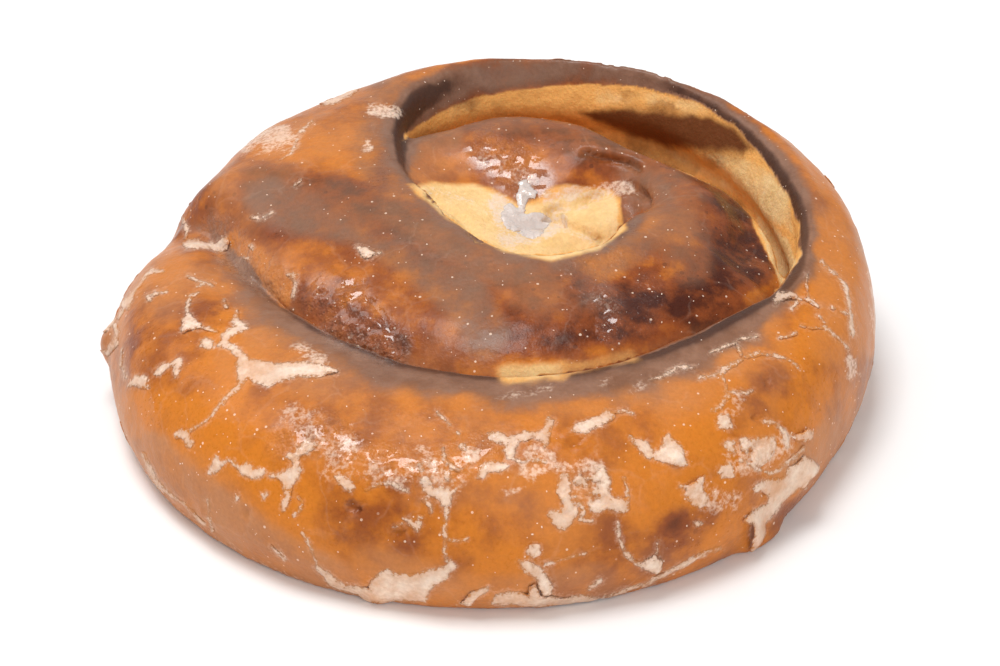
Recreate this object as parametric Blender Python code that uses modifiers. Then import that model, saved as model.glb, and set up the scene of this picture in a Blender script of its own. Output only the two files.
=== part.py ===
"""A glazed cinnamon roll: one strip of dough wound twice round its middle and baked on its flat side.

The strip is a loft of radial sections about the middle of the spiral. Angles are in degrees, anticlockwise
seen from above, and run on past 360 as the strip winds inwards. Lengths are in metres; +Z is up and -Y is
the front.
"""

import math

import bmesh
import bpy
from mathutils import Matrix, Vector

MM = 0.001

# The round outline of the whole roll, as rows of (angle about the origin, radius in millimetres), its nominal
# radius, and the middle of the spiral inside it.
OUTLINE = (
    (0, 60.0),
    (30, 62.0),
    (60, 62.2),
    (90, 61.0),
    (150, 61.4),
    (195, 62.0),
    (240, 61.6),
    (270, 60.6),
    (300, 59.6),
    (330, 58.0),
    (345, 58.6),
    (360, 60.0),
)
ROLL_RADIUS = 61 * MM
OUTLINE_ROUNDS = 4
SPIRAL_MIDDLE = Vector((6.0 * MM, 10.0 * MM, 0.0))

# The strip starts at a notch in the outline, winds in to the middle and ends as the floor of the pit.
STRIP_START = 168.0
STRIP_END = 1110.0
STATION_STEP = 3.0
SECTION_POINTS = 64
NOTCH_DEPTH = 3.5 * MM
NOTCH_SPREAD = 22.0

# How far each turn reaches under the turn outside it, and the skirt below the tray that the flat base trims
# away.
TUCK = 3.0 * MM
SKIRT = 3.0 * MM

# Rows of (angle, rim radius, rim height, outer height, crown, shoulder, cove) in millimetres. The rim is the
# strip's inner edge. The outer height is that of its top where the outer shoulder begins to round down. The
# crown is how far the top bulges above the line between them, the shoulder is how wide the rounding is, and
# the cove is how far the inner wall's foot reaches towards the middle.
STATIONS = (
    (168, 62.5, 13.0, 13.0, 0.0, 3.0, 6.0),
    (172, 59.0, 15.5, 16.5, 0.5, 8.0, 6.0),
    (178, 52.5, 18.5, 19.5, 0.5, 11.0, 6.0),
    (188, 48.0, 20.5, 22.0, 0.5, 13.0, 6.0),
    (218, 45.5, 23.0, 23.8, 0.5, 15.0, 6.0),
    (262, 45.7, 24.3, 24.3, 0.5, 16.0, 6.0),
    (301, 42.7, 25.0, 24.8, 0.5, 15.0, 6.0),
    (315, 42.2, 25.5, 25.3, 0.5, 14.0, 6.0),
    (328, 43.4, 26.0, 25.8, 0.5, 12.5, 7.0),
    (346, 42.2, 26.8, 26.3, 0.5, 10.0, 9.0),
    (372, 40.0, 28.5, 27.8, 0.5, 7.5, 12.0),
    (400, 41.0, 30.0, 29.0, 0.4, 6.5, 15.0),
    (420, 43.0, 31.0, 29.5, 0.2, 6.0, 16.0),
    (460, 42.5, 31.3, 29.8, 0.2, 6.0, 16.0),
    (480, 38.0, 31.0, 29.8, 0.5, 8.5, 12.0),
    (505, 27.3, 30.5, 29.5, 0.6, 15.5, 5.0),
    (530, 20.0, 30.5, 29.3, 0.6, 17.5, 2.0),
    (547, 16.3, 30.5, 28.8, 0.6, 15.5, 1.0),
    (565, 15.8, 30.5, 29.0, 0.6, 18.0, 1.0),
    (589, 16.1, 30.5, 29.3, 0.6, 22.0, 1.0),
    (619, 19.8, 30.0, 29.5, 0.5, 24.0, 1.0),
    (637, 20.6, 30.0, 29.5, 0.5, 23.0, 1.0),
    (655, 19.6, 29.8, 29.0, 0.5, 22.0, 1.0),
    (672, 18.6, 29.7, 28.6, 0.8, 17.0, 1.0),
    (688, 17.6, 29.6, 27.0, 1.5, 12.0, 1.0),
    (700, 17.3, 29.4, 24.5, 3.0, 6.0, 1.0),
    (718, 17.2, 29.0, 25.0, 3.0, 4.0, 1.0),
    (736, 17.4, 28.0, 27.0, 1.0, 3.0, 1.5),
    (752, 17.6, 26.5, 28.5, 0.5, 3.0, 2.0),
    (761, 15.2, 25.0, 29.0, 0.5, 3.5, 2.0),
    (771, 10.0, 23.5, 29.5, 0.5, 4.0, 1.5),
    (782, 5.0, 22.5, 30.0, 0.8, 5.0, 1.0),
    (800, 2.5, 22.0, 30.0, 0.8, 6.0, 0.5),
    (830, 1.5, 22.0, 29.5, 0.6, 6.0, 0.5),
    (860, 1.0, 22.0, 28.0, 0.2, 5.0, 0.5),
    (885, 1.0, 22.0, 27.0, -0.3, 3.0, 0.5),
    (910, 1.0, 22.0, 26.5, -0.6, 2.0, 0.5),
    (950, 1.0, 21.8, 25.0, -0.8, 2.0, 0.5),
    (1000, 1.0, 21.2, 23.5, -0.8, 2.0, 0.5),
    (1050, 1.0, 20.0, 21.5, 0.0, 2.0, 0.5),
    (1110, 1.0, 19.5, 20.0, 0.0, 2.0, 0.5),
)
RIM_RADIUS, RIM_HEIGHT, OUTER_HEIGHT, CROWN, SHOULDER, COVE = range(1, 7)

# Rows of (angle, outer radius in millimetres) where the second turn stands free of the first and leaves the
# open crescent behind it, the share of that gap which its flaring foot takes up, and the angle over which it
# comes free.
FREE_EDGE = (
    (689, 44.0),
    (701, 39.3),
    (712, 37.3),
    (728, 33.2),
    (748, 26.3),
    (762, 23.8),
    (777, 23.4),
    (795, 25.6),
    (815, 27.8),
    (844, 28.8),
    (860, 33.5),
)
FREE_FLARE = 0.6
FREEING_SPREAD = 9.0

# The strip's side is widest at a share of its height, above a foot that turns in.
WIDEST_SHARE = 0.33
FOOT_INSET = 2.5 * MM

# The corners of a section. The inner wall is (share of the cove inwards, share of the rim's height), with a
# ledge under the rim and an undercut below that. The rim's edge is (share of the lip outwards, share of the
# lip down), and the lip is how far it rounds over. The free side of the second turn is (share of the flare,
# share of the outer height). The shoulder's corners are angles round its quarter ellipse.
WALL = ((1.0, 0.1), (0.6, 0.28), (0.28, 0.42), (0.0, 0.56), (0.16, 0.7), (0.1, 0.81))
RIM_EDGE = ((0.0, 1.0), (0.45, 0.1))
FREE_SIDE = ((0.0, 0.93), (0.1, 0.72), (0.3, 0.45), (0.65, 0.2))
TOP_SHARES = (0.3, 0.65, 1.0)
SHOULDER_TURNS = (35, 65, 90)
FOOT_TURN_IN = 0.45
LIP = 3.0 * MM
LIP_SHARE = 0.3
SHOULDER_SHARE = 0.8
LEAST_WIDTH = 2.0 * MM

# Rows of (centre, half sizes, turn about Z, lean about X) in millimetres and degrees: the petal that the
# strip ends in, its knob, the fold at its root, the loop of glaze at the left and the flakes of glaze that
# stand off the crust.
LUMPS = (
    ((16.4, 14.4, 18.6), (9.6, 7.6, 5.2), 14, -8),
    ((21.3, 17.0, 20.4), (3.6, 4.4, 5.2), 30, 0),
    ((8.0, 9.0, 19.2), (4.5, 3.5, 2.8), 0, 0),
    ((-61.3, -4.5, 9.5), (2.2, 3.2, 3.4), 0, 0),
    ((37.2, -42.2, 4.0), (6.0, 1.3, 5.5), 42, -25),
    ((42.5, -37.5, 10.0), (5.0, 1.3, 4.5), 44, -30),
    ((20.5, -52.6, 1.8), (8.0, 1.5, 2.0), 20, 0),
    ((-28.4, 49.0, 24.6), (4.0, 1.8, 1.3), 30, 0),
    ((-49.0, 14.6, 18.2), (4.5, 1.5, 1.5), -12, 0),
)
LUMP_SEGMENTS = 24
LUMP_RINGS = 14

# Fusing and thinning of the mesh.
FUSE_VOXEL = 0.75 * MM
SMOOTH_TURNS = 6
KEPT_SHARE = 0.075

CRUST_COLOUR = (0.52, 0.22, 0.06, 1.0)
CRUST_ROUGHNESS = 0.35


def between(rows, column, angle):
    """The value of one column at an angle, on a smooth curve through every row."""
    last = len(rows) - 1
    found = next((i for i in range(last) if angle <= rows[i + 1][0]), last - 1)
    before, start, end, after = (rows[min(max(found + k, 0), last)] for k in (-1, 0, 1, 2))
    span = end[0] - start[0]
    share = min(max((angle - start[0]) / span, 0.0), 1.0)
    leaving = (end[column] - before[column]) / (end[0] - before[0]) * span
    arriving = (after[column] - start[column]) / (after[0] - start[0]) * span
    return (
        start[column] * (2 * share**3 - 3 * share**2 + 1)
        + leaving * (share**3 - 2 * share**2 + share)
        + end[column] * (3 * share**2 - 2 * share**3)
        + arriving * (share**3 - share**2)
    )


def station(column, angle):
    return between(STATIONS, column, angle) * MM


def direction(angle):
    return Vector((math.cos(math.radians(angle)), math.sin(math.radians(angle)), 0.0))


def outline_reach(angle):
    """How far the outline is from the spiral's middle, found in a few rounds from the nominal radius."""
    way = direction(angle)
    along = SPIRAL_MIDDLE.dot(way)
    radius = ROLL_RADIUS
    for _ in range(OUTLINE_ROUNDS):
        reach = math.sqrt(along**2 - SPIRAL_MIDDLE.length_squared + radius**2) - along
        edge = SPIRAL_MIDDLE + way * reach
        radius = between(OUTLINE, 1, math.degrees(math.atan2(edge.y, edge.x)) % 360) * MM
    return reach


def eased(share):
    """A share held to 0 to 1 and eased at both ends."""
    held = min(max(share, 0.0), 1.0)
    return held**2 * (3 - 2 * held)


def outer_reach(angle):
    """The strip's outer radius, how far its foot flares beyond it, and how free it stands."""
    from_notch = min(abs(angle - STRIP_START), abs(angle - STRIP_START - 360))
    outline = outline_reach(angle) - NOTCH_DEPTH * eased(1 - from_notch / NOTCH_SPREAD)
    if angle <= STRIP_START + 360:
        return outline, -FOOT_INSET, 0.0
    tucked = min(station(RIM_RADIUS, angle - 360) + TUCK, outline)
    if angle < FREE_EDGE[0][0] or angle > FREE_EDGE[-1][0]:
        return tucked, -FOOT_INSET, 0.0
    reach = min(tucked, between(FREE_EDGE, 1, angle) * MM)
    freedom = eased(min(angle - FREE_EDGE[0][0], FREE_EDGE[-1][0] - angle) / FREEING_SPREAD)
    return reach, FREE_FLARE * (tucked - reach) * freedom - FOOT_INSET * (1 - freedom), freedom


def smooth_loop(corners, count):
    """Count points on a closed smooth curve through the corners, spread evenly by corner."""
    points = []
    for k in range(count):
        place = k * len(corners) / count
        first = int(place)
        share = place - first
        a, b, c, d = (Vector(corners[(first + step) % len(corners)]) for step in (-1, 0, 1, 2))
        bend = (2 * a - 5 * b + 4 * c - d) * share**2
        points.append((2 * b + (c - a) * share + bend + (3 * b - a - 3 * c + d) * share**3) / 2)
    return points


def section(angle):
    """The strip's section at an angle, as (radius, height) points round it."""
    rim, rim_height, outer_height, crown, shoulder, cove = (
        station(column, angle) for column in (RIM_RADIUS, RIM_HEIGHT, OUTER_HEIGHT, CROWN, SHOULDER, COVE)
    )
    outer, flare, freedom = outer_reach(angle)
    width = max(outer - rim, LEAST_WIDTH)
    outer = rim + width
    lip = min(LIP, LIP_SHARE * width)
    crest = outer - min(shoulder, SHOULDER_SHARE * width)

    wall = [(rim - cove * inwards, rim_height * upwards) for inwards, upwards in WALL]
    rim_edge = [(rim + lip * outwards, rim_height - lip * down) for outwards, down in RIM_EDGE]
    top = [
        (
            rim + lip + (crest - rim - lip) * share,
            rim_height + (outer_height - rim_height) * share + crown * math.sin(math.pi * share),
        )
        for share in TOP_SHARES
    ]
    widest = WIDEST_SHARE * outer_height
    round_side = [
        (
            crest + (outer - crest) * math.sin(math.radians(turn)),
            widest + (outer_height - widest) * math.cos(math.radians(turn)),
        )
        for turn in SHOULDER_TURNS
    ]
    round_side.append((outer - FOOT_TURN_IN * FOOT_INSET, WIDEST_SHARE * widest))
    free_side = [(outer + flare * outwards, outer_height * upwards) for outwards, upwards in FREE_SIDE]
    side = [Vector(tucked).lerp(free, freedom) for tucked, free in zip(round_side, free_side)]
    foot = outer + flare
    corners = [(rim - cove, -SKIRT), *wall, *rim_edge, *top, *side, (foot, 0.0), (foot, -SKIRT)]
    return smooth_loop(corners, SECTION_POINTS)


def add_strip(shape):
    """The whole strip as a closed loft. Its turns run into each other, as the baked dough does."""
    count = round((STRIP_END - STRIP_START) / STATION_STEP)
    rings = []
    for k in range(count + 1):
        angle = STRIP_START + (STRIP_END - STRIP_START) * k / count
        way = direction(angle)
        places = (way * reach + Vector((0, 0, height)) for reach, height in section(angle))
        rings.append([shape.verts.new(SPIRAL_MIDDLE + place) for place in places])
    for ring, after in zip(rings, rings[1:]):
        for i in range(SECTION_POINTS):
            j = (i + 1) % SECTION_POINTS
            shape.faces.new((ring[i], ring[j], after[j], after[i]))
    shape.faces.new(reversed(rings[0]))
    shape.faces.new(rings[-1])


def add_lump(shape, centre, half_sizes, turn, lean):
    placed = Matrix.Translation(Vector(centre) * MM)
    turned = Matrix.Rotation(math.radians(turn), 4, "Z") @ Matrix.Rotation(math.radians(lean), 4, "X")
    sized = Matrix.Diagonal((*(Vector(half_sizes) * MM), 1.0))
    matrix = placed @ turned @ sized
    bmesh.ops.create_uvsphere(
        shape, u_segments=LUMP_SEGMENTS, v_segments=LUMP_RINGS, radius=1, matrix=matrix
    )


def roll_mesh():
    shape = bmesh.new()
    add_strip(shape)
    for lump in LUMPS:
        add_lump(shape, *lump)
    bmesh.ops.recalc_face_normals(shape, faces=shape.faces)
    mesh = bpy.data.meshes.new("roll")
    shape.to_mesh(mesh)
    shape.free()
    return mesh


def crust_material():
    crust = bpy.data.materials.new("glazed_crust")
    crust.use_nodes = True
    shader = crust.node_tree.nodes["Principled BSDF"]
    shader.inputs["Base Color"].default_value = CRUST_COLOUR
    shader.inputs["Roughness"].default_value = CRUST_ROUGHNESS
    return crust


def move_to(thing, collection):
    for old in thing.users_collection:
        old.objects.unlink(thing)
    collection.objects.link(thing)


def tray_cutter(collection):
    """A box below the tray's level, which leaves the roll its flat base."""
    side, depth = 3 * ROLL_RADIUS, 10 * SKIRT
    bpy.ops.mesh.primitive_cube_add(size=1, location=(0, 0, -depth / 2))
    cutter = bpy.context.active_object
    cutter.name = "tray_cutter"
    cutter.dimensions = (side, side, depth)
    bpy.ops.object.transform_apply(location=False, rotation=False, scale=True)
    cutter.hide_render = True
    cutter.display_type = "WIRE"
    move_to(cutter, collection)
    return cutter


def build():
    for thing in list(bpy.data.objects):
        bpy.data.objects.remove(thing)
    parts = bpy.data.collections.new("cinnamon_roll")
    cutters = bpy.data.collections.new("cutters")
    for collection in (parts, cutters):
        bpy.context.scene.collection.children.link(collection)

    roll = bpy.data.objects.new("roll", roll_mesh())
    parts.objects.link(roll)
    roll.data.materials.append(crust_material())

    fuse = roll.modifiers.new("fuse_turns", "REMESH")
    fuse.mode = "VOXEL"
    fuse.voxel_size = FUSE_VOXEL
    soften = roll.modifiers.new("soften", "SMOOTH")
    soften.iterations = SMOOTH_TURNS
    thin = roll.modifiers.new("thin", "DECIMATE")
    thin.ratio = KEPT_SHARE
    base = roll.modifiers.new("flat_base", "BOOLEAN")
    base.operation = "DIFFERENCE"
    base.object = tray_cutter(cutters)


build()
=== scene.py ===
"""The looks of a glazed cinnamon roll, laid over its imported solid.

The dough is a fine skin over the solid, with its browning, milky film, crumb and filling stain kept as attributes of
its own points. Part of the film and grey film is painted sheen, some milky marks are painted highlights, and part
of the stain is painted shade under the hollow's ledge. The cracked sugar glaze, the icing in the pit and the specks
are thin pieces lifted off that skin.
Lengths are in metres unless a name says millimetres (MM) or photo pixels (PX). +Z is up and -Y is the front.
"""

import math
import random

import bmesh
import bpy
import numpy as np
from bpy.props import FloatProperty, FloatVectorProperty, IntProperty, PointerProperty
from mathutils import Matrix, Vector
from mathutils.bvhtree import BVHTree


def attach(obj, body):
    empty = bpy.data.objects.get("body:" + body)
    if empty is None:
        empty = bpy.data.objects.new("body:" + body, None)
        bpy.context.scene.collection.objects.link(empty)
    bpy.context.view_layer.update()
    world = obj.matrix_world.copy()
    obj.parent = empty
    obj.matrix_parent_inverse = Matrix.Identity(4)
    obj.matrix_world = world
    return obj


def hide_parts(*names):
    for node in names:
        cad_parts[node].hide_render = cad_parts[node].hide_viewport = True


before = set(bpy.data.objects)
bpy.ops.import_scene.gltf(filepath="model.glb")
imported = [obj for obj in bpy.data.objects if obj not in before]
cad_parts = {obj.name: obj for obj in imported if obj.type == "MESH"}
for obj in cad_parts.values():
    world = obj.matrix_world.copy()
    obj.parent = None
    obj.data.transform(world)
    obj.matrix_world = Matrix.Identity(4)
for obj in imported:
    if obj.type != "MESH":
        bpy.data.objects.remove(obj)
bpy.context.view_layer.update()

bl_info = {
    "name": "Glazed cinnamon roll",
    "version": (1, 0, 0),
    "blender": (4, 5, 0),
    "location": "View3D > Sidebar > Cinnamon roll",
    "description": "Models the crust, crumb, cracked glaze and icing of a cinnamon roll",
    "category": "Add Mesh",
}

MM = 0.001

# The camera that shows the roll as the photo does.
PHOTO_WIDTH_PX = 1000
PHOTO_HEIGHT_PX = 666
CAMERA_ELEVATION = math.radians(33)
CAMERA_DISTANCE = 0.36
CAMERA_AIM = Vector((0, -5 * MM, 12 * MM))
FOCAL_PX = 2286
SENSOR_WIDTH_MM = 36
PX_TO_MM = 1 / 6.35

# The spiral: its middle and, along the strip's inner edge, rows of (angle, radius, height) in degrees and millimetres.
SPIRAL_MIDDLE = (6 * MM, 10 * MM)
STRIP_START = 168
RIM = (
    (168, 62.5, 13.0), (172, 59.0, 15.5), (178, 52.5, 18.5), (188, 48.0, 20.5), (218, 45.5, 23.0),
    (262, 45.7, 24.3), (301, 42.7, 25.0), (315, 42.2, 25.5), (328, 43.4, 26.0), (346, 42.2, 26.8),
    (372, 40.0, 28.5), (400, 41.0, 30.0), (420, 43.0, 31.0), (460, 42.5, 31.3), (480, 38.0, 31.0),
    (505, 27.3, 30.5), (530, 20.0, 30.5), (547, 16.3, 30.5), (565, 15.8, 30.5), (589, 16.1, 30.5),
    (619, 19.8, 30.0), (637, 20.6, 30.0), (655, 19.6, 29.8), (672, 18.6, 29.7), (688, 17.6, 29.6),
    (700, 17.3, 29.4), (718, 17.2, 29.0), (736, 17.4, 28.0), (752, 17.6, 26.5), (761, 15.2, 25.0),
)
RIM_END = 700
# How dark the strip's edge is along it, how wide the dark band on its top is and how far down the inner wall it goes,
# in millimetres.
RIM_TONE = (
    (168, 0.0, 3.0, 0.4), (182, 0.3, 4.5, 0.4), (200, 0.55, 7.5, 0.5), (225, 0.7, 9.0, 0.6),
    (262, 0.8, 10.0, 0.7), (285, 0.84, 11.0, 0.7), (305, 0.86, 8.5, 0.7), (325, 0.84, 4.6, 0.7),
    (346, 0.84, 3.6, 1.0), (372, 0.84, 3.8, 2.0), (400, 0.8, 3.6, 3.0), (425, 0.5, 2.8, 3.5),
    (440, 0.24, 2.6, 3.5), (460, 0.24, 3.2, 4.0), (474, 0.7, 4.0, 5.0), (490, 0.88, 4.5, 5.0),
    (508, 0.84, 5.0, 3.0), (530, 0.62, 5.5, 1.2), (565, 0.6, 5.5, 0.8), (600, 0.6, 5.5, 0.8),
    (640, 0.62, 5.0, 0.8), (690, 0.5, 4.0, 0.8),
)
# How far the lip's crest leans in over the groove: (angle, millimetres).
LIP_LEAN = (
    (195, 0.0), (218, 2.2), (262, 1.9), (282, 2.2), (298, 3.0), (315, 2.1), (330, 1.8), (350, 0.8), (365, 0.0),
    (590, 0.0), (612, 0.8), (628, 1.4), (645, 1.7), (662, 1.5), (680, 2.6), (694, 2.2), (706, 0.0),
)
# Where the second turn stands free of the first: (angle, outer radius) in degrees and millimetres.
FREE_EDGE = (
    (689, 44.0), (701, 39.3), (712, 37.3), (728, 33.2), (748, 26.3), (762, 23.8), (777, 23.4), (795, 25.6),
    (815, 27.8), (844, 28.8), (860, 33.5),
)

# Lines and an outline that more than one mark follows.
BASE_LEFT_PX = ((150, 455), (185, 488), (235, 525), (290, 562), (340, 585))
FRONT_SPOT_PX = ((570, 440), (620, 442), (640, 430))
HOLLOW_PX = (
    (404, 130), (440, 108), (470, 96), (500, 92), (540, 84), (570, 82), (640, 86), (690, 96), (718, 112), (735, 128),
    (765, 160), (790, 195), (800, 230), (798, 262), (780, 284), (770, 262), (745, 205), (690, 175), (600, 128),
    (560, 112), (480, 110), (400, 140),
)

# Broad marks on the crust, as (layer, value, half width, softness, line). The line is drawn over the photo and falls
# on whatever it meets first. A later mark covers an earlier one.
BROAD_MARKS_PX = (
    # The outer turn: golden middle, milky film towards the edge that is partly painted sheen, the base and the two
    # ends.
    ("film_and_sheen", 0.6, 22, 40, ((215, 262), (290, 335), (370, 398), (480, 418), (590, 402), (690, 368), (775, 325))),
    ("film_and_sheen", 0.02, 24, 26, ((165, 345), (190, 400), (240, 430), (300, 500), (400, 540), (500, 545))),
    ("film_and_sheen", 0.05, 26, 30, ((640, 500), (690, 520), (720, 470), (800, 370), (840, 300))),
    ("film_and_sheen", 0.05, 12, 16, ((195, 310), (225, 320))),
    ("film_and_sheen", 0.7, 10, 12, ((112, 330), (112, 390), (128, 440), (150, 470))),
    ("film_and_sheen", 0.95, 18, 12, BASE_LEFT_PX),
    ("film_and_sheen", 0.6, 10, 14, ((370, 560), (420, 575), (480, 592), (600, 582), (560, 590))),
    ("film_and_sheen", 0.9, 14, 12, ((868, 240), (876, 300), (868, 370), (840, 430), (800, 470))),
    ("film_and_sheen", 0.5, 20, 24, ((800, 240), (820, 200), (790, 165))),
    ("film_and_sheen", 0.4, 16, 20, ((830, 240), (840, 300), (838, 340))),
    ("film_and_sheen", 0.35, 10, 16, ((745, 400), (775, 350), (760, 430))),
    ("film_and_sheen", 0.5, 14, 20, ((150, 285), (185, 262), (165, 300))),
    ("film_and_sheen", 0.25, 20, 24, ((300, 430), (420, 440), (520, 440))),
    ("browning", 0.26, 14, 24, ((360, 415), (420, 425), (470, 425))),
    ("browning", 0.0, 22, 26, ((150, 420), (240, 450))),
    ("browning", 0.25, 14, 18, ((160, 345), (185, 345), (150, 370))),
    ("browning", 0.3, 22, 30, ((350, 515), (400, 510), (390, 535))),
    ("browning", 0.24, 18, 24, ((470, 510), (520, 515))),
    ("browning", 0.22, 14, 26, ((470, 425), (560, 440), (620, 435))),
    ("browning", 0.3, 12, 24, ((280, 385), (320, 400), (360, 420))),
    ("browning", 0.3, 10, 20, ((640, 520), (600, 545), (640, 530))),
    ("browning", 0.38, 8, 26, ((770, 378), (762, 400))),
    ("browning", 0.02, 20, 24, ((680, 480), (640, 490), (700, 440))),
    ("browning", 0.16, 8, 14, ((810, 395), (850, 300))),
    ("browning", 0.04, 16, 24, ((820, 330), (830, 240))),
    ("browning", 0.0, 10, 16, ((864, 270), (866, 340))),
    # The second turn, from the notch round the front to where it comes free.
    ("browning", 0.32, 60, 20, ((240, 210), (320, 150), (380, 140))),
    ("browning", 0.08, 22, 26, ((290, 160), (340, 160))),
    ("browning", 0.7, 24, 24, ((270, 195), (350, 215), (430, 250))),
    ("browning", 0.5, 24, 22, ((205, 218), (300, 250))),
    ("browning", 0.1, 12, 12, ((236, 252), (262, 275), (285, 292))),
    ("browning", 0.3, 22, 24, ((362, 262), (405, 296), (420, 326))),
    ("browning", 0.3, 16, 18, ((300, 262), (340, 272))),
    ("browning", 0.62, 12, 16, ((310, 305), (345, 325), (400, 352))),
    ("browning", 0.45, 24, 26, ((450, 330), (480, 350))),
    ("browning", 0.6, 26, 30, ((520, 305), (560, 318), (600, 318))),
    ("browning", 0.24, 12, 16, ((600, 262), (640, 245), (662, 226))),
    ("browning", 0.86, 24, 30, ((665, 300), (700, 290), (738, 262), (728, 215))),
    ("browning", 0.5, 14, 20, ((650, 265), (690, 250), (700, 215))),
    ("browning", 0.68, 10, 14, ((560, 338), (640, 345), (700, 322), (750, 298))),
    ("browning", 0.3, 4, 7, ((750, 299), (777, 287))),
    ("browning", 0.78, 10, 10, ((690, 182), (740, 206), (766, 262))),
    ("browning", 0.5, 14, 16, ((655, 160), (690, 190), (690, 215))),
    ("browning", 0.6, 22, 18, ((430, 140), (560, 128), (640, 152), (680, 178))),
    ("browning", 0.36, 9, 14, ((480, 152), (560, 162), (432, 172), (470, 176))),
    ("browning", 0.66, 12, 14, ((575, 138), (620, 155), (650, 172))),
    ("film_and_sheen", 0.05, 26, 26, ((330, 290), (400, 320), (390, 270))),
    ("film_and_sheen", 0.0, 30, 30, ((520, 320), (620, 310), (720, 280), (740, 230))),
    # Milky film on the second turn's upper left, partly painted sheen.
    ("film_and_sheen", 0.45, 26, 30, ((240, 165), (300, 120), (380, 100), (420, 90))),
    ("film_and_sheen", 0.5, 12, 18, ((400, 205), (450, 235), (520, 285), (540, 292))),
    ("grey_and_sheen", 0.9, 10, 16, ((455, 275), (470, 300), (490, 330))),
    ("film_and_sheen", 0.4, 16, 20, ((640, 185), (668, 200), (672, 235))),
    ("film_and_sheen", 0.6, 12, 16, ((412, 145), (440, 135), (455, 160), (420, 168))),
    ("grey_and_sheen", 0.95, 14, 18, ((268, 200), (300, 212), (360, 222), (420, 258), (465, 300), (485, 335))),
    ("grey_and_sheen", 0.5, 12, 16, ((340, 195), (380, 222))),
    ("grey_and_sheen", 0.6, 16, 18, ((392, 100), (376, 150), (392, 195), (440, 235))),
    ("grey_and_sheen", 0.75, 14, 14, ((440, 238), (500, 262), (570, 270), (630, 245), (656, 205), (640, 172))),
    ("grey_and_sheen", 0.5, 14, 18, ((660, 220), (690, 232), (690, 262))),
    ("grey_and_sheen", 0.35, 12, 18, ((545, 300), (590, 292))),
    ("grey_and_sheen", 0.6, 9, 14, ((410, 134), (470, 120), (550, 113))),
    ("grey_and_sheen", 0.3, 8, 14, ((560, 118), (610, 134), (680, 170))),
    # Grey film on the right inner rim, painted as a greyish highlight.
    ("grey_and_sheen", 0.6, 6, 8, ((745, 130), (775, 160), (800, 190))),
    ("browning", 0.26, 14, 12, BASE_LEFT_PX),
    ("film_and_sheen", 0.35, 12, 16, ((380, 412), (440, 425), (500, 418))),
    ("film_and_sheen", 0.1, 14, 18, FRONT_SPOT_PX),
    ("browning", 0.2, 12, 18, FRONT_SPOT_PX),
    ("film_and_sheen", 0.5, 8, 12, ((866, 280), (866, 340), (850, 400))),
    ("wet", 1.0, 16, 12, ((322, 296), (350, 300), (388, 345), (340, 325))),
    ("wet", 1.0, 12, 10, ((596, 290), (612, 306), (615, 330))),
    ("wet", 0.9, 16, 12, ((490, 150), (530, 180))),
    ("wet", 0.5, 12, 12, ((640, 320), (650, 290))),
    ("wet", 0.6, 12, 10, ((580, 275), (610, 262))),
    ("wet", 0.7, 14, 14, ((290, 440), (320, 430), (360, 460), (440, 470), (480, 450))),
    ("wet", 0.6, 14, 12, ((220, 230), (240, 260), (280, 285))),
    # The pale crumb where the second turn dips behind the outer turn's lip.
    ("browning", 0.4, 5, 14, ((495, 368), (560, 368), (640, 350))),
    ("crumb", 0.85, 2, 15, ((506, 373), (530, 374), (560, 372))),
    ("crumb", 0.6, 1, 12, ((560, 372), (600, 364), (632, 356))),
    ("browning", 0.08, 3, 10, ((508, 372), (556, 371))),
)
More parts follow.
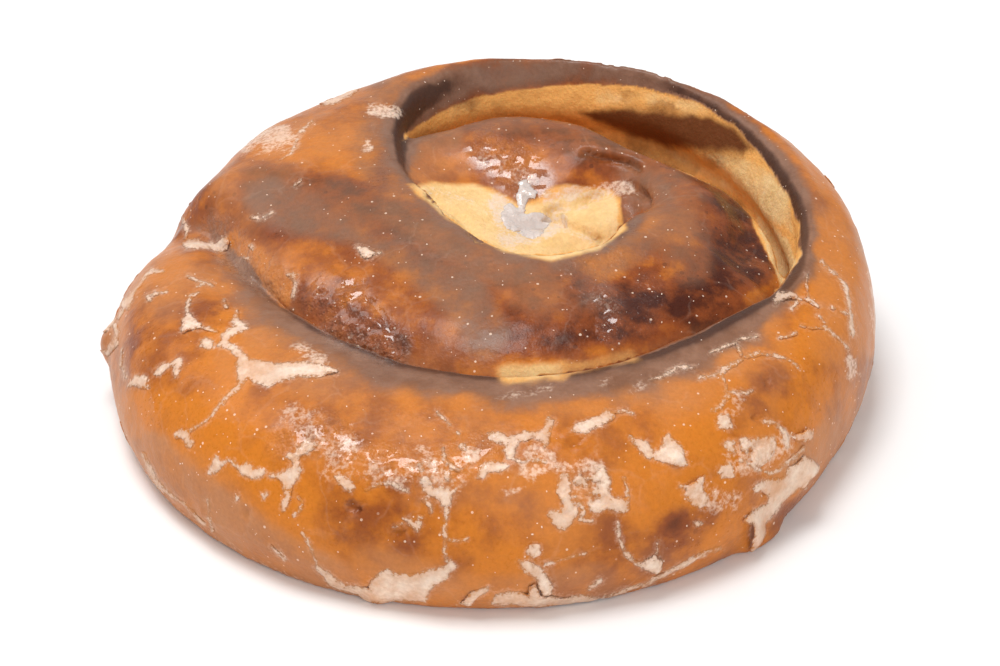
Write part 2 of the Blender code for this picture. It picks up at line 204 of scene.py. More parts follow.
BROAD_PATCHES_PX = (
    # (layer, value, softness, outline) drawn over the photo in the same way.
    ("crumb", 1.0, 10, ((408, 184), (430, 181), (450, 183), (475, 184), (495, 188), (508, 196), (520, 203), (534, 199),
                       (545, 190), (566, 184), (590, 186), (612, 190), (622, 196), (632, 192), (642, 215), (600, 250),
                       (550, 262), (500, 252), (440, 212))),
    ("browning", 0.0, 14, ((420, 186), (470, 184), (520, 205), (600, 190), (640, 215), (600, 250), (550, 262),
                        (500, 252), (440, 212))),
    ("browning", 0.55, 8, ((621, 196), (634, 190), (648, 200), (647, 216), (632, 228), (620, 222))),
    ("crumb", 0.0, 7, ((624, 196), (636, 188), (652, 196), (650, 216), (638, 230), (624, 224))),
    # The hollow: a dark skin above a ledge, golden crumb, the filling's stain with painted shade under the ledge, and
    # the pale floor.
    ("crumb", 1.0, 4, HOLLOW_PX),
    ("browning", 0.4, 8, HOLLOW_PX),
    ("browning", 0.3, 8, ((575, 88), (610, 84), (660, 92), (700, 104), (716, 114), (690, 112), (640, 106), (590, 104))),
    ("browning", 0.1, 10, ((660, 150), (735, 156), (765, 165), (792, 200), (796, 240), (780, 226), (745, 200),
                       (700, 178))),
    ("browning", 0.0, 6, ((752, 206), (768, 224), (790, 246), (796, 262), (780, 284), (770, 262), (762, 232))),
    ("crumb", 0.0, 5, ((396, 150), (394, 120), (410, 92), (450, 66), (520, 56), (600, 60), (650, 74), (700, 92),
                       (735, 122), (728, 124), (700, 104), (650, 88), (600, 84), (560, 84), (520, 90), (480, 96),
                       (440, 112), (405, 134))),
    ("browning", 0.7, 5, ((394, 150), (394, 120), (410, 92), (450, 64), (520, 54), (600, 58), (660, 74), (710, 94),
                          (742, 124), (728, 124), (700, 104), (650, 88), (600, 82), (560, 82), (520, 88), (480, 94),
                          (440, 108), (405, 130))),
    # Grey film over the back rim's dark skin, painted as a grey-pink sheen.
    ("grey_and_sheen", 0.85, 12, ((430, 92), (470, 70), (540, 60), (600, 66), (620, 76), (560, 80), (500, 88), (450, 100))),
    # The filling's stain under the ledge is partly painted shade, darkest at the ledge and fading softly below.
    ("stain_and_shade", 1.0, 14, ((578, 112), (612, 110), (650, 115), (708, 118), (736, 131), (753, 150), (732, 158), (698, 157),
                       (669, 154), (640, 145), (607, 131))),
    ("stain_and_shade", 0.35, 20, ((600, 125), (660, 146), (735, 152), (750, 158), (700, 166), (640, 152))),
    ("stain_and_shade", 0.0, 8, ((700, 176), (750, 160), (800, 200), (800, 260), (780, 284), (745, 205))),
    ("stain_and_shade", 0.1, 8, ((772, 205), (790, 206), (798, 225), (796, 250), (790, 240), (778, 226))),
)

# Grooves and dark pits, as (depth in millimetres, half width, line).
GROOVES_PX = (
    (1.6, 2.6, ((546, 220), (552, 217), (560, 219))),
    (1.3, 2.6, ((628, 186), (640, 190), (646, 200), (646, 206))),
    (1.1, 2.4, ((585, 153), (602, 158), (620, 161), (638, 167))),
    (1.1, 2.4, ((560, 222), (580, 229), (600, 240))),
    (0.9, 2.2, ((548, 212), (575, 205), (600, 196))),
    (0.8, 2.4, ((430, 196), (460, 215), (480, 240))),
    (0.9, 3.0, ((350, 505), (357, 510))),
    (0.7, 2.6, ((393, 530), (402, 532))),
    (0.8, 3.5, ((570, 444), (580, 442))),
    (0.6, 2.0, ((767, 377), (770, 384))),
    (0.6, 1.6, ((754, 417), (757, 419))),
    (0.5, 1.6, ((749, 451), (750, 452))),
    (0.5, 1.6, ((763, 494), (764, 495))),
    (0.5, 1.5, ((276, 231), (279, 229))),
    (0.4, 1.2, ((244, 508), (247, 514))),
    (0.5, 1.2, ((346, 284), (360, 285), (366, 283))),
    (0.5, 1.2, ((368, 300), (380, 312), (392, 334))),
    (0.4, 1.0, ((603, 298), (608, 306), (603, 314))),
)
# Wrinkled and craggy stretches of the crust, as (height in millimetres, half width, line).
CRAGS_PX = (
    (0.45, 16, ((340, 460), (380, 460), (400, 490))),
    (0.5, 16, ((420, 470), (450, 480), (470, 455))),
    (0.5, 14, ((490, 445), (540, 440), (520, 460))),
    (0.55, 22, ((580, 480), (600, 500), (570, 505))),
    (0.4, 16, ((290, 425), (330, 430), (300, 470))),
    (0.5, 18, ((730, 440), (760, 450), (740, 470))),
    (0.4, 12, ((660, 445), (680, 460))),
    (0.35, 10, ((735, 400), (745, 395))),
    (0.4, 10, ((190, 232), (220, 238))),
    (0.9, 13, ((320, 298), (350, 300), (392, 345), (340, 325))),
    (0.8, 12, ((598, 290), (612, 308), (615, 325))),
    (0.5, 14, ((300, 440), (340, 430), (380, 460), (440, 465))),
    (0.5, 12, ((560, 440), (600, 450))),
    (0.35, 14, ((500, 155), (530, 175))),
    (0.3, 10, ((140, 470), (170, 500), (220, 530))),
    (0.35, 10, ((150, 385), (160, 405))),
)

# White sugar glaze that stands on the crust: outlines of the patches.
GLAZE_PATCHES_PX = {
    "arrow": ((189, 313), (193, 318), (200, 325), (201, 328), (196, 328), (190, 330), (184, 333), (182, 330),
              (184, 326), (181, 320), (185, 318)),
    "square": ((206, 338), (213, 341), (212, 346), (209, 349), (200, 346), (202, 340)),
    "branch": ((237, 311), (238, 320), (242, 324), (248, 328), (240, 332), (233, 335), (226, 341), (236, 347),
               (242, 352), (250, 359), (262, 362), (280, 364), (300, 362), (318, 365), (328, 370), (337, 372),
               (330, 374), (316, 377), (300, 376), (285, 380), (268, 386), (258, 382), (250, 380), (247, 376),
               (246, 381), (243, 386), (238, 391), (230, 397), (224, 404), (220, 404), (225, 396), (232, 390),
               (238, 384), (238, 375), (236, 364), (238, 358), (228, 348), (217, 345), (221, 340), (221, 333),
               (232, 329), (236, 326), (232, 320), (235, 315)),
    "two_lobes": ((178, 357), (182, 360), (181, 367), (178, 375), (175, 378), (174, 372), (175, 365), (170, 366),
                  (163, 371), (160, 375), (155, 374), (158, 368), (163, 366), (170, 364), (174, 361)),
    "pale": ((135, 376), (146, 378), (146, 383), (150, 387), (141, 388), (135, 384), (128, 386), (133, 381)),
    "left_edge": ((137, 288), (134, 293), (133, 298), (131, 303), (128, 309), (123, 306), (115, 308), (120, 302),
                  (127, 298), (132, 292)),
    "bright": ((182, 429), (188, 430), (190, 436), (194, 442), (191, 447), (187, 446), (185, 439), (178, 437),
               (176, 434)),
    "low_left": ((216, 457), (220, 462), (226, 461), (222, 467), (216, 472), (209, 473), (213, 465)),
    "low_left_band": ((228, 460), (232, 463), (236, 468), (243, 474), (252, 478), (262, 476), (264, 471), (254, 469),
                      (251, 463), (246, 463), (240, 466), (234, 461)),
    "ladder": ((270, 476), (280, 478), (284, 484), (286, 494), (283, 504), (283, 511), (287, 505), (291, 495),
               (292, 486), (297, 478), (301, 470), (298, 466), (299, 458), (305, 453), (313, 449), (318, 444),
               (311, 442), (303, 443), (297, 449), (293, 455), (290, 453), (287, 456), (292, 461), (295, 466),
               (288, 470), (282, 474)),
    "low_dot": ((262, 494), (268, 493), (264, 499)),
    "low_dot_left": ((236, 494), (240, 497), (237, 500)),
    "slash": ((335, 476), (345, 476), (355, 488), (350, 491), (340, 485)),
    "fork": ((425, 483), (435, 490), (440, 487), (448, 490), (456, 489), (452, 496), (451, 505), (443, 505),
             (440, 498), (432, 496), (424, 490)),
    "wedge": ((480, 465), (495, 462), (508, 466), (500, 471), (488, 472), (483, 478), (478, 478), (480, 470)),
    "net": ((488, 433), (498, 432), (508, 437), (516, 436), (524, 432), (535, 433), (545, 428), (548, 418),
            (554, 420), (550, 432), (548, 444), (544, 448), (540, 440), (534, 437), (526, 440), (518, 441),
            (515, 450), (514, 458), (508, 458), (506, 450), (510, 444), (503, 443), (496, 442), (490, 438)),
    "stub": ((402, 518), (408, 522), (412, 528), (418, 532), (421, 525), (423, 516), (417, 515), (415, 522),
             (410, 518)),
    "big_left": ((560, 475), (567, 474), (570, 485), (569, 495), (574, 505), (578, 512), (572, 522), (565, 530),
                 (558, 528), (552, 522), (548, 515), (552, 510), (560, 512), (564, 505), (560, 498), (557, 490)),
    "big_ring": ((572, 480), (580, 475), (585, 480), (591, 486), (585, 487), (578, 484)),
    "big_right": ((586, 478), (596, 474), (604, 468), (610, 478), (608, 490), (612, 498), (620, 498), (626, 500),
                  (629, 510), (624, 513), (616, 510), (606, 508), (598, 512), (590, 510), (588, 503), (598, 500),
                  (600, 494), (592, 496), (585, 494), (592, 490), (600, 486), (602, 478), (596, 482)),
    "root_top": ((530, 546), (538, 545), (540, 553), (533, 557), (527, 552)),
    "root": ((518, 560), (528, 562), (538, 568), (546, 576), (552, 585), (550, 592), (543, 590), (538, 580),
             (530, 574), (522, 568)),
    "base_front": ((372, 580), (380, 573), (388, 570), (394, 574), (404, 574), (414, 574), (428, 570), (440, 568),
                   (446, 566), (450, 560), (456, 566), (450, 572), (444, 580), (436, 584), (428, 590), (425, 602),
                   (412, 601), (398, 600), (385, 600), (375, 598), (366, 599), (358, 594), (345, 591), (340, 587),
                   (355, 586), (370, 588)),
    "base_middle": ((462, 602), (470, 593), (480, 589), (488, 588), (486, 592), (476, 596), (468, 603)),
    "base_right": ((492, 604), (496, 594), (508, 593), (520, 592), (528, 595), (530, 586), (534, 584), (538, 592),
                   (545, 596), (560, 598), (580, 596), (600, 598), (600, 602), (560, 605), (530, 605)),
    "base_left": ((326, 572), (332, 576), (338, 580), (345, 586), (340, 590), (332, 586), (326, 580)),
    "step": ((578, 424), (590, 419), (600, 416), (605, 410), (612, 413), (616, 418), (605, 422), (596, 426),
             (588, 433), (578, 432), (572, 430)),
    "star_left": ((630, 436), (640, 440), (648, 443), (653, 452), (650, 459), (645, 456), (640, 448), (632, 442)),
    "star_right": ((668, 434), (673, 440), (680, 446), (684, 455), (687, 465), (680, 466), (672, 464), (664, 462),
                   (656, 460), (652, 455), (658, 452), (663, 445), (664, 438)),
    "hook": ((685, 495), (688, 486), (696, 480), (704, 476), (700, 486), (703, 492), (708, 497), (706, 504),
             (700, 507), (692, 504), (688, 499)),
    "speck": ((694, 522), (699, 521), (702, 524), (697, 526)),
    "bead_top": ((718, 416), (724, 414), (729, 416), (730, 422), (732, 427), (726, 428), (720, 428), (717, 422)),
    "bead_middle": ((722, 444), (728, 441), (735, 442), (733, 447), (735, 452), (730, 453), (726, 449)),
    "bead_low": ((722, 465), (730, 464), (733, 470), (734, 477), (727, 477), (721, 478), (719, 472)),
    "cream": ((752, 440), (760, 438), (768, 436), (774, 437), (775, 445), (773, 452), (768, 460), (760, 466),
              (753, 462), (750, 455), (753, 448)),
    "cream_left": ((740, 440), (746, 438), (750, 446), (746, 452), (741, 448)),
    "cream_right": ((792, 437), (800, 434), (806, 428), (812, 432), (810, 440), (803, 440), (796, 439)),
    "low_right": ((640, 566), (646, 560), (655, 556), (660, 560), (660, 568), (656, 572), (650, 570), (644, 568)),
    "corner": ((778, 292), (786, 293), (796, 295), (798, 298), (790, 299), (782, 300), (776, 304), (775, 299)),
    "island": ((357, 247), (366, 249), (372, 252), (380, 253), (372, 256), (366, 259), (361, 254)),
    "top_left": ((320, 102), (332, 94), (345, 89), (357, 90), (350, 97), (338, 102), (326, 105)),
    "hanging": ((812, 462), (803, 456), (797, 464), (789, 468), (786, 475), (780, 479), (770, 479), (760, 482),
                (753, 489), (763, 493), (771, 497), (768, 504), (758, 509), (750, 514), (743, 519), (750, 520),
                (749, 530), (748, 537), (750, 548), (757, 540), (763, 532), (764, 523), (770, 518), (778, 508),
                (784, 500), (792, 494), (800, 487), (806, 489), (808, 478), (818, 466)),
    "notch_ledge": ((183, 243), (190, 239), (198, 240), (206, 243), (216, 244), (226, 238), (231, 242), (228, 250),
                    (220, 252), (210, 248), (196, 248), (186, 248)),
}
# Where the glaze stands off the crust, as (height in millimetres, reach, spot).
CURLS_PX = (
    (1.3, 26, (749, 534)), (0.8, 18, (808, 470)), (0.6, 14, (804, 434)), (0.5, 16, (694, 482)), (0.7, 20, (376, 596)),
    (0.5, 14, (470, 599)), (0.7, 16, (536, 592)), (0.6, 14, (655, 565)), (0.5, 9, (367, 253)), (0.8, 14, (106, 342)),
    (0.4, 10, (186, 326)), (0.5, 12, (790, 296)), (0.5, 12, (548, 586)), (0.5, 12, (620, 505)), (0.4, 12, (330, 370)),
    (0.5, 12, (675, 460)), (0.5, 12, (228, 244)),
)
# Veins of the same glaze, as (half width, line); the one along the right edge is a painted highlight band.
GLAZE_VEINS_AND_HIGHLIGHT_PX = (
    (1.6, ((163, 272), (152, 271), (145, 277), (140, 285))),
    (1.5, ((167, 292), (155, 294), (148, 297), (150, 300))),
    (0.9, ((188, 277), (200, 282), (205, 283), (213, 286))),
    (0.8, ((203, 284), (197, 287))),
    (1.8, ((198, 293), (190, 297), (188, 303), (187, 315))),
    (0.9, ((201, 328), (210, 330), (221, 333))),
    (0.8, ((224, 300), (226, 308))),
    (1.0, ((220, 404), (208, 420), (190, 431))),
    (1.0, ((122, 350), (121, 365), (126, 378))),
    (2.2, ((104, 330), (113, 322), (118, 332), (116, 344), (108, 354), (104, 352))),
    (1.4, ((118, 318), (124, 310), (122, 300))),
    (2.0, ((140, 285), (133, 293))),
    (1.5, ((366, 490), (380, 484), (392, 483), (400, 488), (408, 492))),
    (2.8, ((447, 500), (447, 512))),
    (2.4, ((447, 512), (445, 525), (445, 535))),
    (1.6, ((445, 535), (449, 540), (458, 541), (467, 538))),
    (1.3, ((445, 537), (444, 550), (447, 562))),
    (2.2, ((443, 449), (445, 460), (452, 466), (458, 470))),
    (3.4, ((420, 466), (421, 469))),
    (4.2, ((424, 480), (428, 483))),
    (3.6, ((447, 473), (448, 478))),
    (2.6, ((462, 446), (464, 448))),
    (1.2, ((505, 450), (512, 458), (522, 462), (535, 460), (545, 462))),
    (1.3, ((395, 527), (403, 523))),
    (2.2, ((424, 500), (430, 505), (431, 512))),
    (1.2, ((624, 478), (627, 490), (628, 505))),
    (1.8, ((575, 496), (584, 510), (580, 520), (592, 521))),
    (1.1, ((546, 564), (560, 560), (575, 556), (590, 552))),
    (1.2, ((612, 413), (625, 411), (633, 414))),
    (2.4, ((713, 410), (720, 408), (723, 402), (728, 397))),
    (1.6, ((730, 393), (738, 391), (745, 393), (752, 391))),
    (2.2, ((765, 421), (775, 423), (782, 430), (786, 438), (787, 446))),
    (1.5, ((740, 460), (750, 464), (760, 470), (770, 474), (780, 470), (786, 462), (795, 456), (803, 448))),
    (1.0, ((618, 522), (620, 540), (625, 552))),
    (1.8, ((625, 552), (632, 560), (640, 565))),
    (0.8, ((658, 540), (657, 553))),
    (2.0, ((590, 588), (596, 584), (601, 580))),
    (1.4, ((650, 380), (660, 377), (670, 373), (676, 368), (684, 367), (694, 368))),
    (0.9, ((711, 352), (722, 348), (736, 343), (740, 352), (742, 358))),
    (1.1, ((700, 378), (712, 376), (720, 373))),
    (3.0, ((721, 373), (728, 367), (735, 364))),
    (1.2, ((735, 364), (745, 358), (750, 356))),
    (2.2, ((750, 356), (759, 354))),
    (1.2, ((759, 354), (775, 356), (785, 358), (792, 362), (798, 368))),
    (0.8, ((738, 340), (745, 338), (757, 337))),
    (1.1, ((722, 375), (726, 385), (726, 395), (722, 402))),
    (0.9, ((798, 299), (810, 301), (818, 307))),
    (0.8, ((808, 273), (806, 285), (808, 300))),
    (1.2, ((822, 262), (828, 268), (838, 277), (845, 285))),
    (1.6, ((845, 285), (848, 297), (850, 310), (851, 325), (853, 335))),
    (1.0, ((840, 312), (852, 315))),
    (1.8, ((832, 308), (834, 309))),
    (1.0, ((800, 326), (812, 329), (822, 328), (830, 331), (840, 340), (848, 348))),
    (2.2, ((822, 327), (825, 327))),
    (0.8, ((818, 315), (824, 323))),
    (1.0, ((780, 338), (790, 337), (796, 333))),
    (0.8, ((792, 308), (798, 302))),
    # Painted highlight band along the right edge, made as a glaze vein.
    (1.6, ((866, 240), (872, 262), (876, 290))),
    (1.5, ((302, 533), (310, 545), (314, 556), (318, 567))),
    (2.2, ((318, 567), (326, 575), (334, 583))),
    (0.9, ((272, 546), (285, 560))),
    (1.0, ((208, 500), (209, 518), (213, 530))),
    (1.4, ((298, 497), (303, 502), (300, 511), (294, 515))),
    (2.6, ((144, 455), (150, 470), (156, 482), (166, 492))),
    (1.4, ((166, 492), (185, 505), (205, 524))),
    (1.3, ((293, 277), (296, 285), (292, 297))),
    (0.9, ((288, 275), (297, 274))),
    (1.5, ((182, 216), (187, 230), (186, 238))),
    (1.4, ((301, 131), (312, 122))),
    (0.7, ((280, 160), (290, 155), (297, 140))),
    (1.3, ((295, 185), (300, 181))),
    (1.0, ((263, 217), (272, 213))),
    (0.9, ((250, 217), (258, 218))),
    (1.6, ((250, 246), (253, 248))),
    (1.2, ((244, 258), (248, 259))),
    (2.4, ((720, 548), (705, 553), (690, 561), (678, 567), (665, 574), (655, 579), (645, 585))),
    (1.8, ((645, 585), (632, 588), (615, 595), (600, 600))),
    (1.0, ((680, 486), (692, 487))),
    (0.8, ((437, 412), (450, 425))),
    (1.4, ((457, 432), (459, 434))),
)
# Soft, milky marks in the same glaze, too thin to stand up: (strength, half width, softness, line).
# Some of them are painted highlights and painted reflections.
MILKY_AND_HIGHLIGHT_MARKS_PX = (
    # Painted highlight: a whitish smear on the outer turn's shoulder.
    (0.5, 3, 8, ((300, 350), (312, 355), (320, 360))),
    # Painted reflections: whitish glints in the wet, crinkled stretches of the second turn.
    (0.16, 5, 9, ((345, 332), (388, 348))),
    (0.14, 4, 8, ((322, 300), (350, 310))),
    (0.12, 4, 8, ((600, 298), (612, 310))),
    (0.55, 7, 12, ((498, 205), (512, 236), (548, 226), (556, 216))),
    (0.45, 3, 8, ((545, 200), (575, 192), (612, 190))),
    (0.4, 2, 6, ((560, 226), (585, 236), (602, 242))),
    (0.45, 2, 6, ((430, 190), (455, 196), (470, 200))),
    # Milky glaze streaks on the mound's wet crest, partly a painted highlight.
    (0.3, 8, 10, ((490, 158), (525, 178))),
    # Milky glaze on the wet front of the outer turn, partly a painted highlight.
    (0.34, 6, 12, ((290, 415), (300, 425), (312, 418), (300, 440), (330, 450))),
    (0.3, 4, 10, ((300, 410), (294, 420), (286, 424))),
    (0.34, 5, 10, ((345, 440), (355, 455), (375, 462), (330, 470))),
    (0.36, 5, 10, ((370, 475), (385, 478), (410, 470))),
    (0.38, 6, 8, ((430, 460), (436, 475), (455, 480), (470, 460))),
    (0.6, 4, 6, ((468, 453), (474, 456))),
    (0.5, 7, 8, ((535, 455), (545, 460), (530, 470))),
    (0.42, 8, 8, ((575, 490), (590, 500), (600, 480))),
    (0.3, 2, 6, ((104, 395), (112, 430), (130, 465), (160, 500), (205, 535))),
    (0.28, 2, 5, ((205, 535), (260, 565), (330, 592))),
    (0.4, 6, 8, ((666, 455), (676, 452))),
    (0.4, 6, 10, ((735, 400), (730, 405), (722, 412))),
    (0.4, 8, 12, ((745, 455), (735, 460), (760, 455), (780, 445))),
    (0.45, 8, 10, ((700, 495), (715, 500), (730, 500))),
    (0.5, 4, 6, ((850, 362), (852, 374))),
    # Painted highlight band along the right edge.
    (0.45, 3, 6, ((865, 235), (875, 290), (876, 330))),
    (0.4, 5, 8, ((395, 580), (410, 588), (385, 590))),
    # Painted soft highlight on the second turn's upper left.
    (0.5, 8, 14, ((250, 141), (268, 140), (282, 137))),
    (0.6, 3, 6, ((372, 109), (385, 111), (398, 112))),
    (0.6, 2.5, 4, ((367, 143), (368, 149))),
    (0.3, 1.5, 6, ((606, 383), (616, 384))),
    (0.3, 1.5, 6, ((632, 391), (642, 386))),
    (0.22, 1.2, 4, ((466, 388), (474, 400), (490, 399), (520, 394), (550, 388))),
    (0.5, 2.5, 4, ((420, 446), (424, 448))),
    (0.45, 1.5, 3, ((503, 490), (512, 494), (520, 488))),
    (0.5, 4, 6, ((560, 468), (570, 466), (600, 466))),
    (0.5, 1.2, 3, ((545, 215), (570, 208), (590, 201), (600, 196))),
    (0.4, 1.4, 3, ((552, 223), (575, 229), (590, 238), (600, 241))),
    (0.5, 4, 6, ((598, 189), (615, 187), (628, 188))),
)
ICING_POOL_PX = ((503, 207), (509, 204), (517, 209), (523, 214), (531, 213), (541, 214), (550, 221), (546, 228),
                 (540, 236), (533, 239), (525, 236), (515, 230), (507, 227), (502, 218))
ICING_DRIP_PX = ((520, 184), (525, 181), (530, 186), (537, 192), (534, 198), (528, 197), (526, 205), (524, 214),
                 (519, 212), (518, 202), (518, 194))


class CinnamonRollSizes(bpy.types.PropertyGroup):
    """Sizes of the roll's skin and of what lies on it."""

    skin_grid: FloatProperty(
        name="Skin grid", description="How fine the dough's skin is", default=0.68 * MM, unit="LENGTH"
    )
    undulation: FloatProperty(
        name="Undulation", description="Height of the crust's slow waves", default=0.26 * MM, unit="LENGTH"
    )
    grain: FloatProperty(
        name="Grain", description="Height of the crust's small bumps", default=0.07 * MM, unit="LENGTH"
    )
    glaze_thickness: FloatProperty(
        name="Glaze thickness", description="Thickness of the white sugar glaze", default=0.08 * MM, unit="LENGTH"
    )
    icing_thickness: FloatProperty(
        name="Icing thickness", description="Thickness of the icing pooled in the pit", default=0.45 * MM, unit="LENGTH"
    )
    specks: IntProperty(name="Specks", description="How many specks of sugar lie on the crust", default=640)


class CinnamonRollColours(bpy.types.PropertyGroup):
    """Colours of the roll's finishes."""

    golden: FloatVectorProperty(
        name="Golden crust", description="Palest crust", subtype="COLOR", default=(0.61, 0.185, 0.015)
    )
    brown: FloatVectorProperty(
        name="Brown crust", description="Crust halfway browned", subtype="COLOR", default=(0.25, 0.058, 0.012)
    )
    dark: FloatVectorProperty(
        name="Dark crust", description="Darkest crust", subtype="COLOR", default=(0.06, 0.011, 0.004)
    )
    # Also used for the painted sheen mixed into the film.
    film_and_sheen: FloatVectorProperty(
        name="Milky film", description="Thin glaze dried on the crust", subtype="COLOR", default=(0.52, 0.22, 0.09)
    )
    # Also used for painted sheen on the rims.
    grey_and_sheen: FloatVectorProperty(
        name="Grey film", description="Thin glaze over dark crust", subtype="COLOR", default=(0.235, 0.125, 0.078)
    )
    crumb: FloatVectorProperty(
        name="Crumb", description="Soft inside of the dough", subtype="COLOR", default=(0.9, 0.63, 0.31)
    )
    golden_crumb: FloatVectorProperty(
        name="Golden crumb", description="Crumb lightly baked", subtype="COLOR", default=(0.84, 0.42, 0.12)
    )
    toasted_crumb: FloatVectorProperty(
        name="Toasted crumb", description="Crumb baked brown", subtype="COLOR", default=(0.3, 0.09, 0.018)
    )
    lip: FloatVectorProperty(
        name="Lip", description="Dark band along the strip's edge", subtype="COLOR", default=(0.17, 0.083, 0.053)
    )
    lip_film: FloatVectorProperty(
        name="Film on the lip", description="Paler spots of that band", subtype="COLOR", default=(0.275, 0.15, 0.1)
    )
    lip_crest: FloatVectorProperty(
        name="Lip's crest", description="Nearly black line on the lip", subtype="COLOR", default=(0.05, 0.024, 0.018)
    )
    # Also used for painted shade under the hollow's ledge.
    filling_and_shade: FloatVectorProperty(
        name="Filling", description="Cinnamon stain", subtype="COLOR", default=(0.11, 0.024, 0.005)
    )
    glaze: FloatVectorProperty(
        name="White glaze", description="Cracked sugar glaze", subtype="COLOR", default=(0.93, 0.72, 0.57)
    )
    icing: FloatVectorProperty(
        name="Icing", description="Wet icing in the pit", subtype="COLOR", default=(0.72, 0.61, 0.56)
    )
    floor: FloatVectorProperty(
        name="Floor", description="Pale floor", subtype="COLOR", default=(0.93, 0.93, 0.93)
    )


# --- Marks drawn over the photo -------------------------------------------------------------------------------------


def camera_place():
    back = Vector((0, -math.cos(CAMERA_ELEVATION), math.sin(CAMERA_ELEVATION)))
    return CAMERA_AIM + back * CAMERA_DISTANCE, back


def to_photo(points):
    """Where points fall in the photo, in pixels."""
    place, back = camera_place()
    right = Vector((1, 0, 0))
    up = back.cross(right)
    away = points - np.array(place)
    depth = away @ -np.array(back)
    across = PHOTO_WIDTH_PX / 2 + FOCAL_PX * (away @ np.array(right)) / depth
    down = PHOTO_HEIGHT_PX / 2 - FOCAL_PX * (away @ np.array(up)) / depth
    return np.stack([across, down], 1)


def line_gap(places, line):
    """How far each place is from a line of points."""
    gap = np.full(len(places), np.inf)
    for start, end in zip(line, line[1:]):
        start, end = np.array(start, float), np.array(end, float)
        along = end - start
        share = np.clip((places - start) @ along / max(along @ along, 1e-9), 0, 1)
        gap = np.minimum(gap, np.linalg.norm(places - start - share[:, None] * along, axis=1))
    return gap


def outline_depth(places, outline):
    """How far inside an outline each place is; outside it is negative."""
    gap = line_gap(places, (*outline, outline[0]))
    inside = np.zeros(len(places), bool)
    for (x0, y0), (x1, y1) in zip(outline, (*outline[1:], outline[0])):
        if y0 == y1:
            continue
        crosses = (places[:, 1] < y0) != (places[:, 1] < y1)
        inside ^= crosses & (places[:, 0] < x0 + (places[:, 1] - y0) * (x1 - x0) / (y1 - y0))
    return np.where(inside, gap, -gap)


def near(places, line, reach):
    """Which places lie in the box round a line, widened by a reach."""
    corners = np.array(line, float)
    low, high = corners.min(0) - reach, corners.max(0) + reach
    return np.flatnonzero(((places > low) & (places < high)).all(1))


def eased(share):
    held = np.clip(share, 0, 1)
    return held * held * (3 - 2 * held)


def scrambled(corners, seed):
    """A whole number from 0 to 2**24 for each corner of a grid, always the same for the same corner and seed."""
    mixed = corners[..., 0] * 73856093 ^ corners[..., 1] * 19349663 ^ corners[..., 2] * 83492791 ^ seed * 2654435761
    mixed = (mixed ^ (mixed >> 15)) * 2246822519 & 0xFFFFFFFF
    mixed = (mixed ^ (mixed >> 13)) * 3266489917 & 0xFFFFFFFF
    return (mixed ^ (mixed >> 16)) & 0xFFFFFF


def waves(places, seed):
    """Smooth noise with features about one unit wide, mostly between -1 and 1."""
    corner = np.floor(places).astype(np.int64)
    inside = places - corner
    share = inside**3 * (inside * (inside * 6 - 15) + 10)
    total = np.zeros(len(places))
    for step in np.ndindex(2, 2, 2):
        mixed = scrambled(corner + step, seed)
        slope = np.stack([mixed & 255, mixed >> 8 & 255, mixed >> 16 & 255], 1) / 127.5 - 1
        weight = np.prod(np.where(step, share, 1 - share), axis=1)
        total += weight * ((inside - step) * slope).sum(1)
    return 1.5 * total


def clouds(points, size, octaves=2, seed=0):
    """Layered smooth noise, mostly between -1 and 1, with features of the given size."""
    total = np.zeros(len(points))
    for octave in range(octaves):
        total += waves(points * (2**octave / size) + 7.31 * octave, seed * 16 + octave) / 2**octave
    return total


def cells(points, size, seed=0):
    """For each point, the distances to the two nearest of a scatter of centres, in units of the size."""
    places = points / size
    corner = np.floor(places).astype(np.int64)
    nearest = np.full((2, len(points)), 9.0)
    for step in np.ndindex(3, 3, 3):
        cell = corner + (np.array(step) - 1)
        mixed = scrambled(cell, seed)
        centre = cell + np.stack([mixed & 255, mixed >> 8 & 255, mixed >> 16 & 255], 1) / 255
        gap = np.linalg.norm(places - centre, axis=1)
        nearest[1] = np.minimum(nearest[1], np.maximum(nearest[0], gap))
        nearest[0] = np.minimum(nearest[0], gap)
    return nearest.T


def frayed(points, places):
    """The places with a small ragged shift, so that no drawn edge is straight."""
    shift = np.stack([clouds(points, 2.2 * MM, 2, seed) for seed in (3, 4)], 1)
    fine = np.stack([clouds(points, 0.6 * MM, 1, seed) for seed in (5, 6)], 1)
    return places + 2.4 * shift + 1.0 * fine


def drawn_glaze(points, layers):
    """How far inside the white glaze of the photo each point is, in millimetres; one vein on the right edge is a
    painted highlight band.
    """
    places = to_photo(points)
    depth = np.full(len(points), -20.0)
    reach = 12
    for outline in GLAZE_PATCHES_PX.values():
        some = near(places, outline, reach)
        depth[some] = np.maximum(depth[some], outline_depth(places[some], outline) + 0.3)
    for half_width, line in GLAZE_VEINS_AND_HIGHLIGHT_PX:
        some = near(places, line, reach)
        depth[some] = np.maximum(depth[some], 0.8 * half_width - 0.1 - line_gap(places[some], line))
    some = np.flatnonzero(depth > -6)
    rough = 1.3 * clouds(points[some], 1.4 * MM, 3, 3)
    depth[some] += rough * eased((depth[some] + 6) / 4)
    return np.where((layers["seen"] > 0.5) & (layers["facing"] > 0.06), depth * PX_TO_MM, -5)


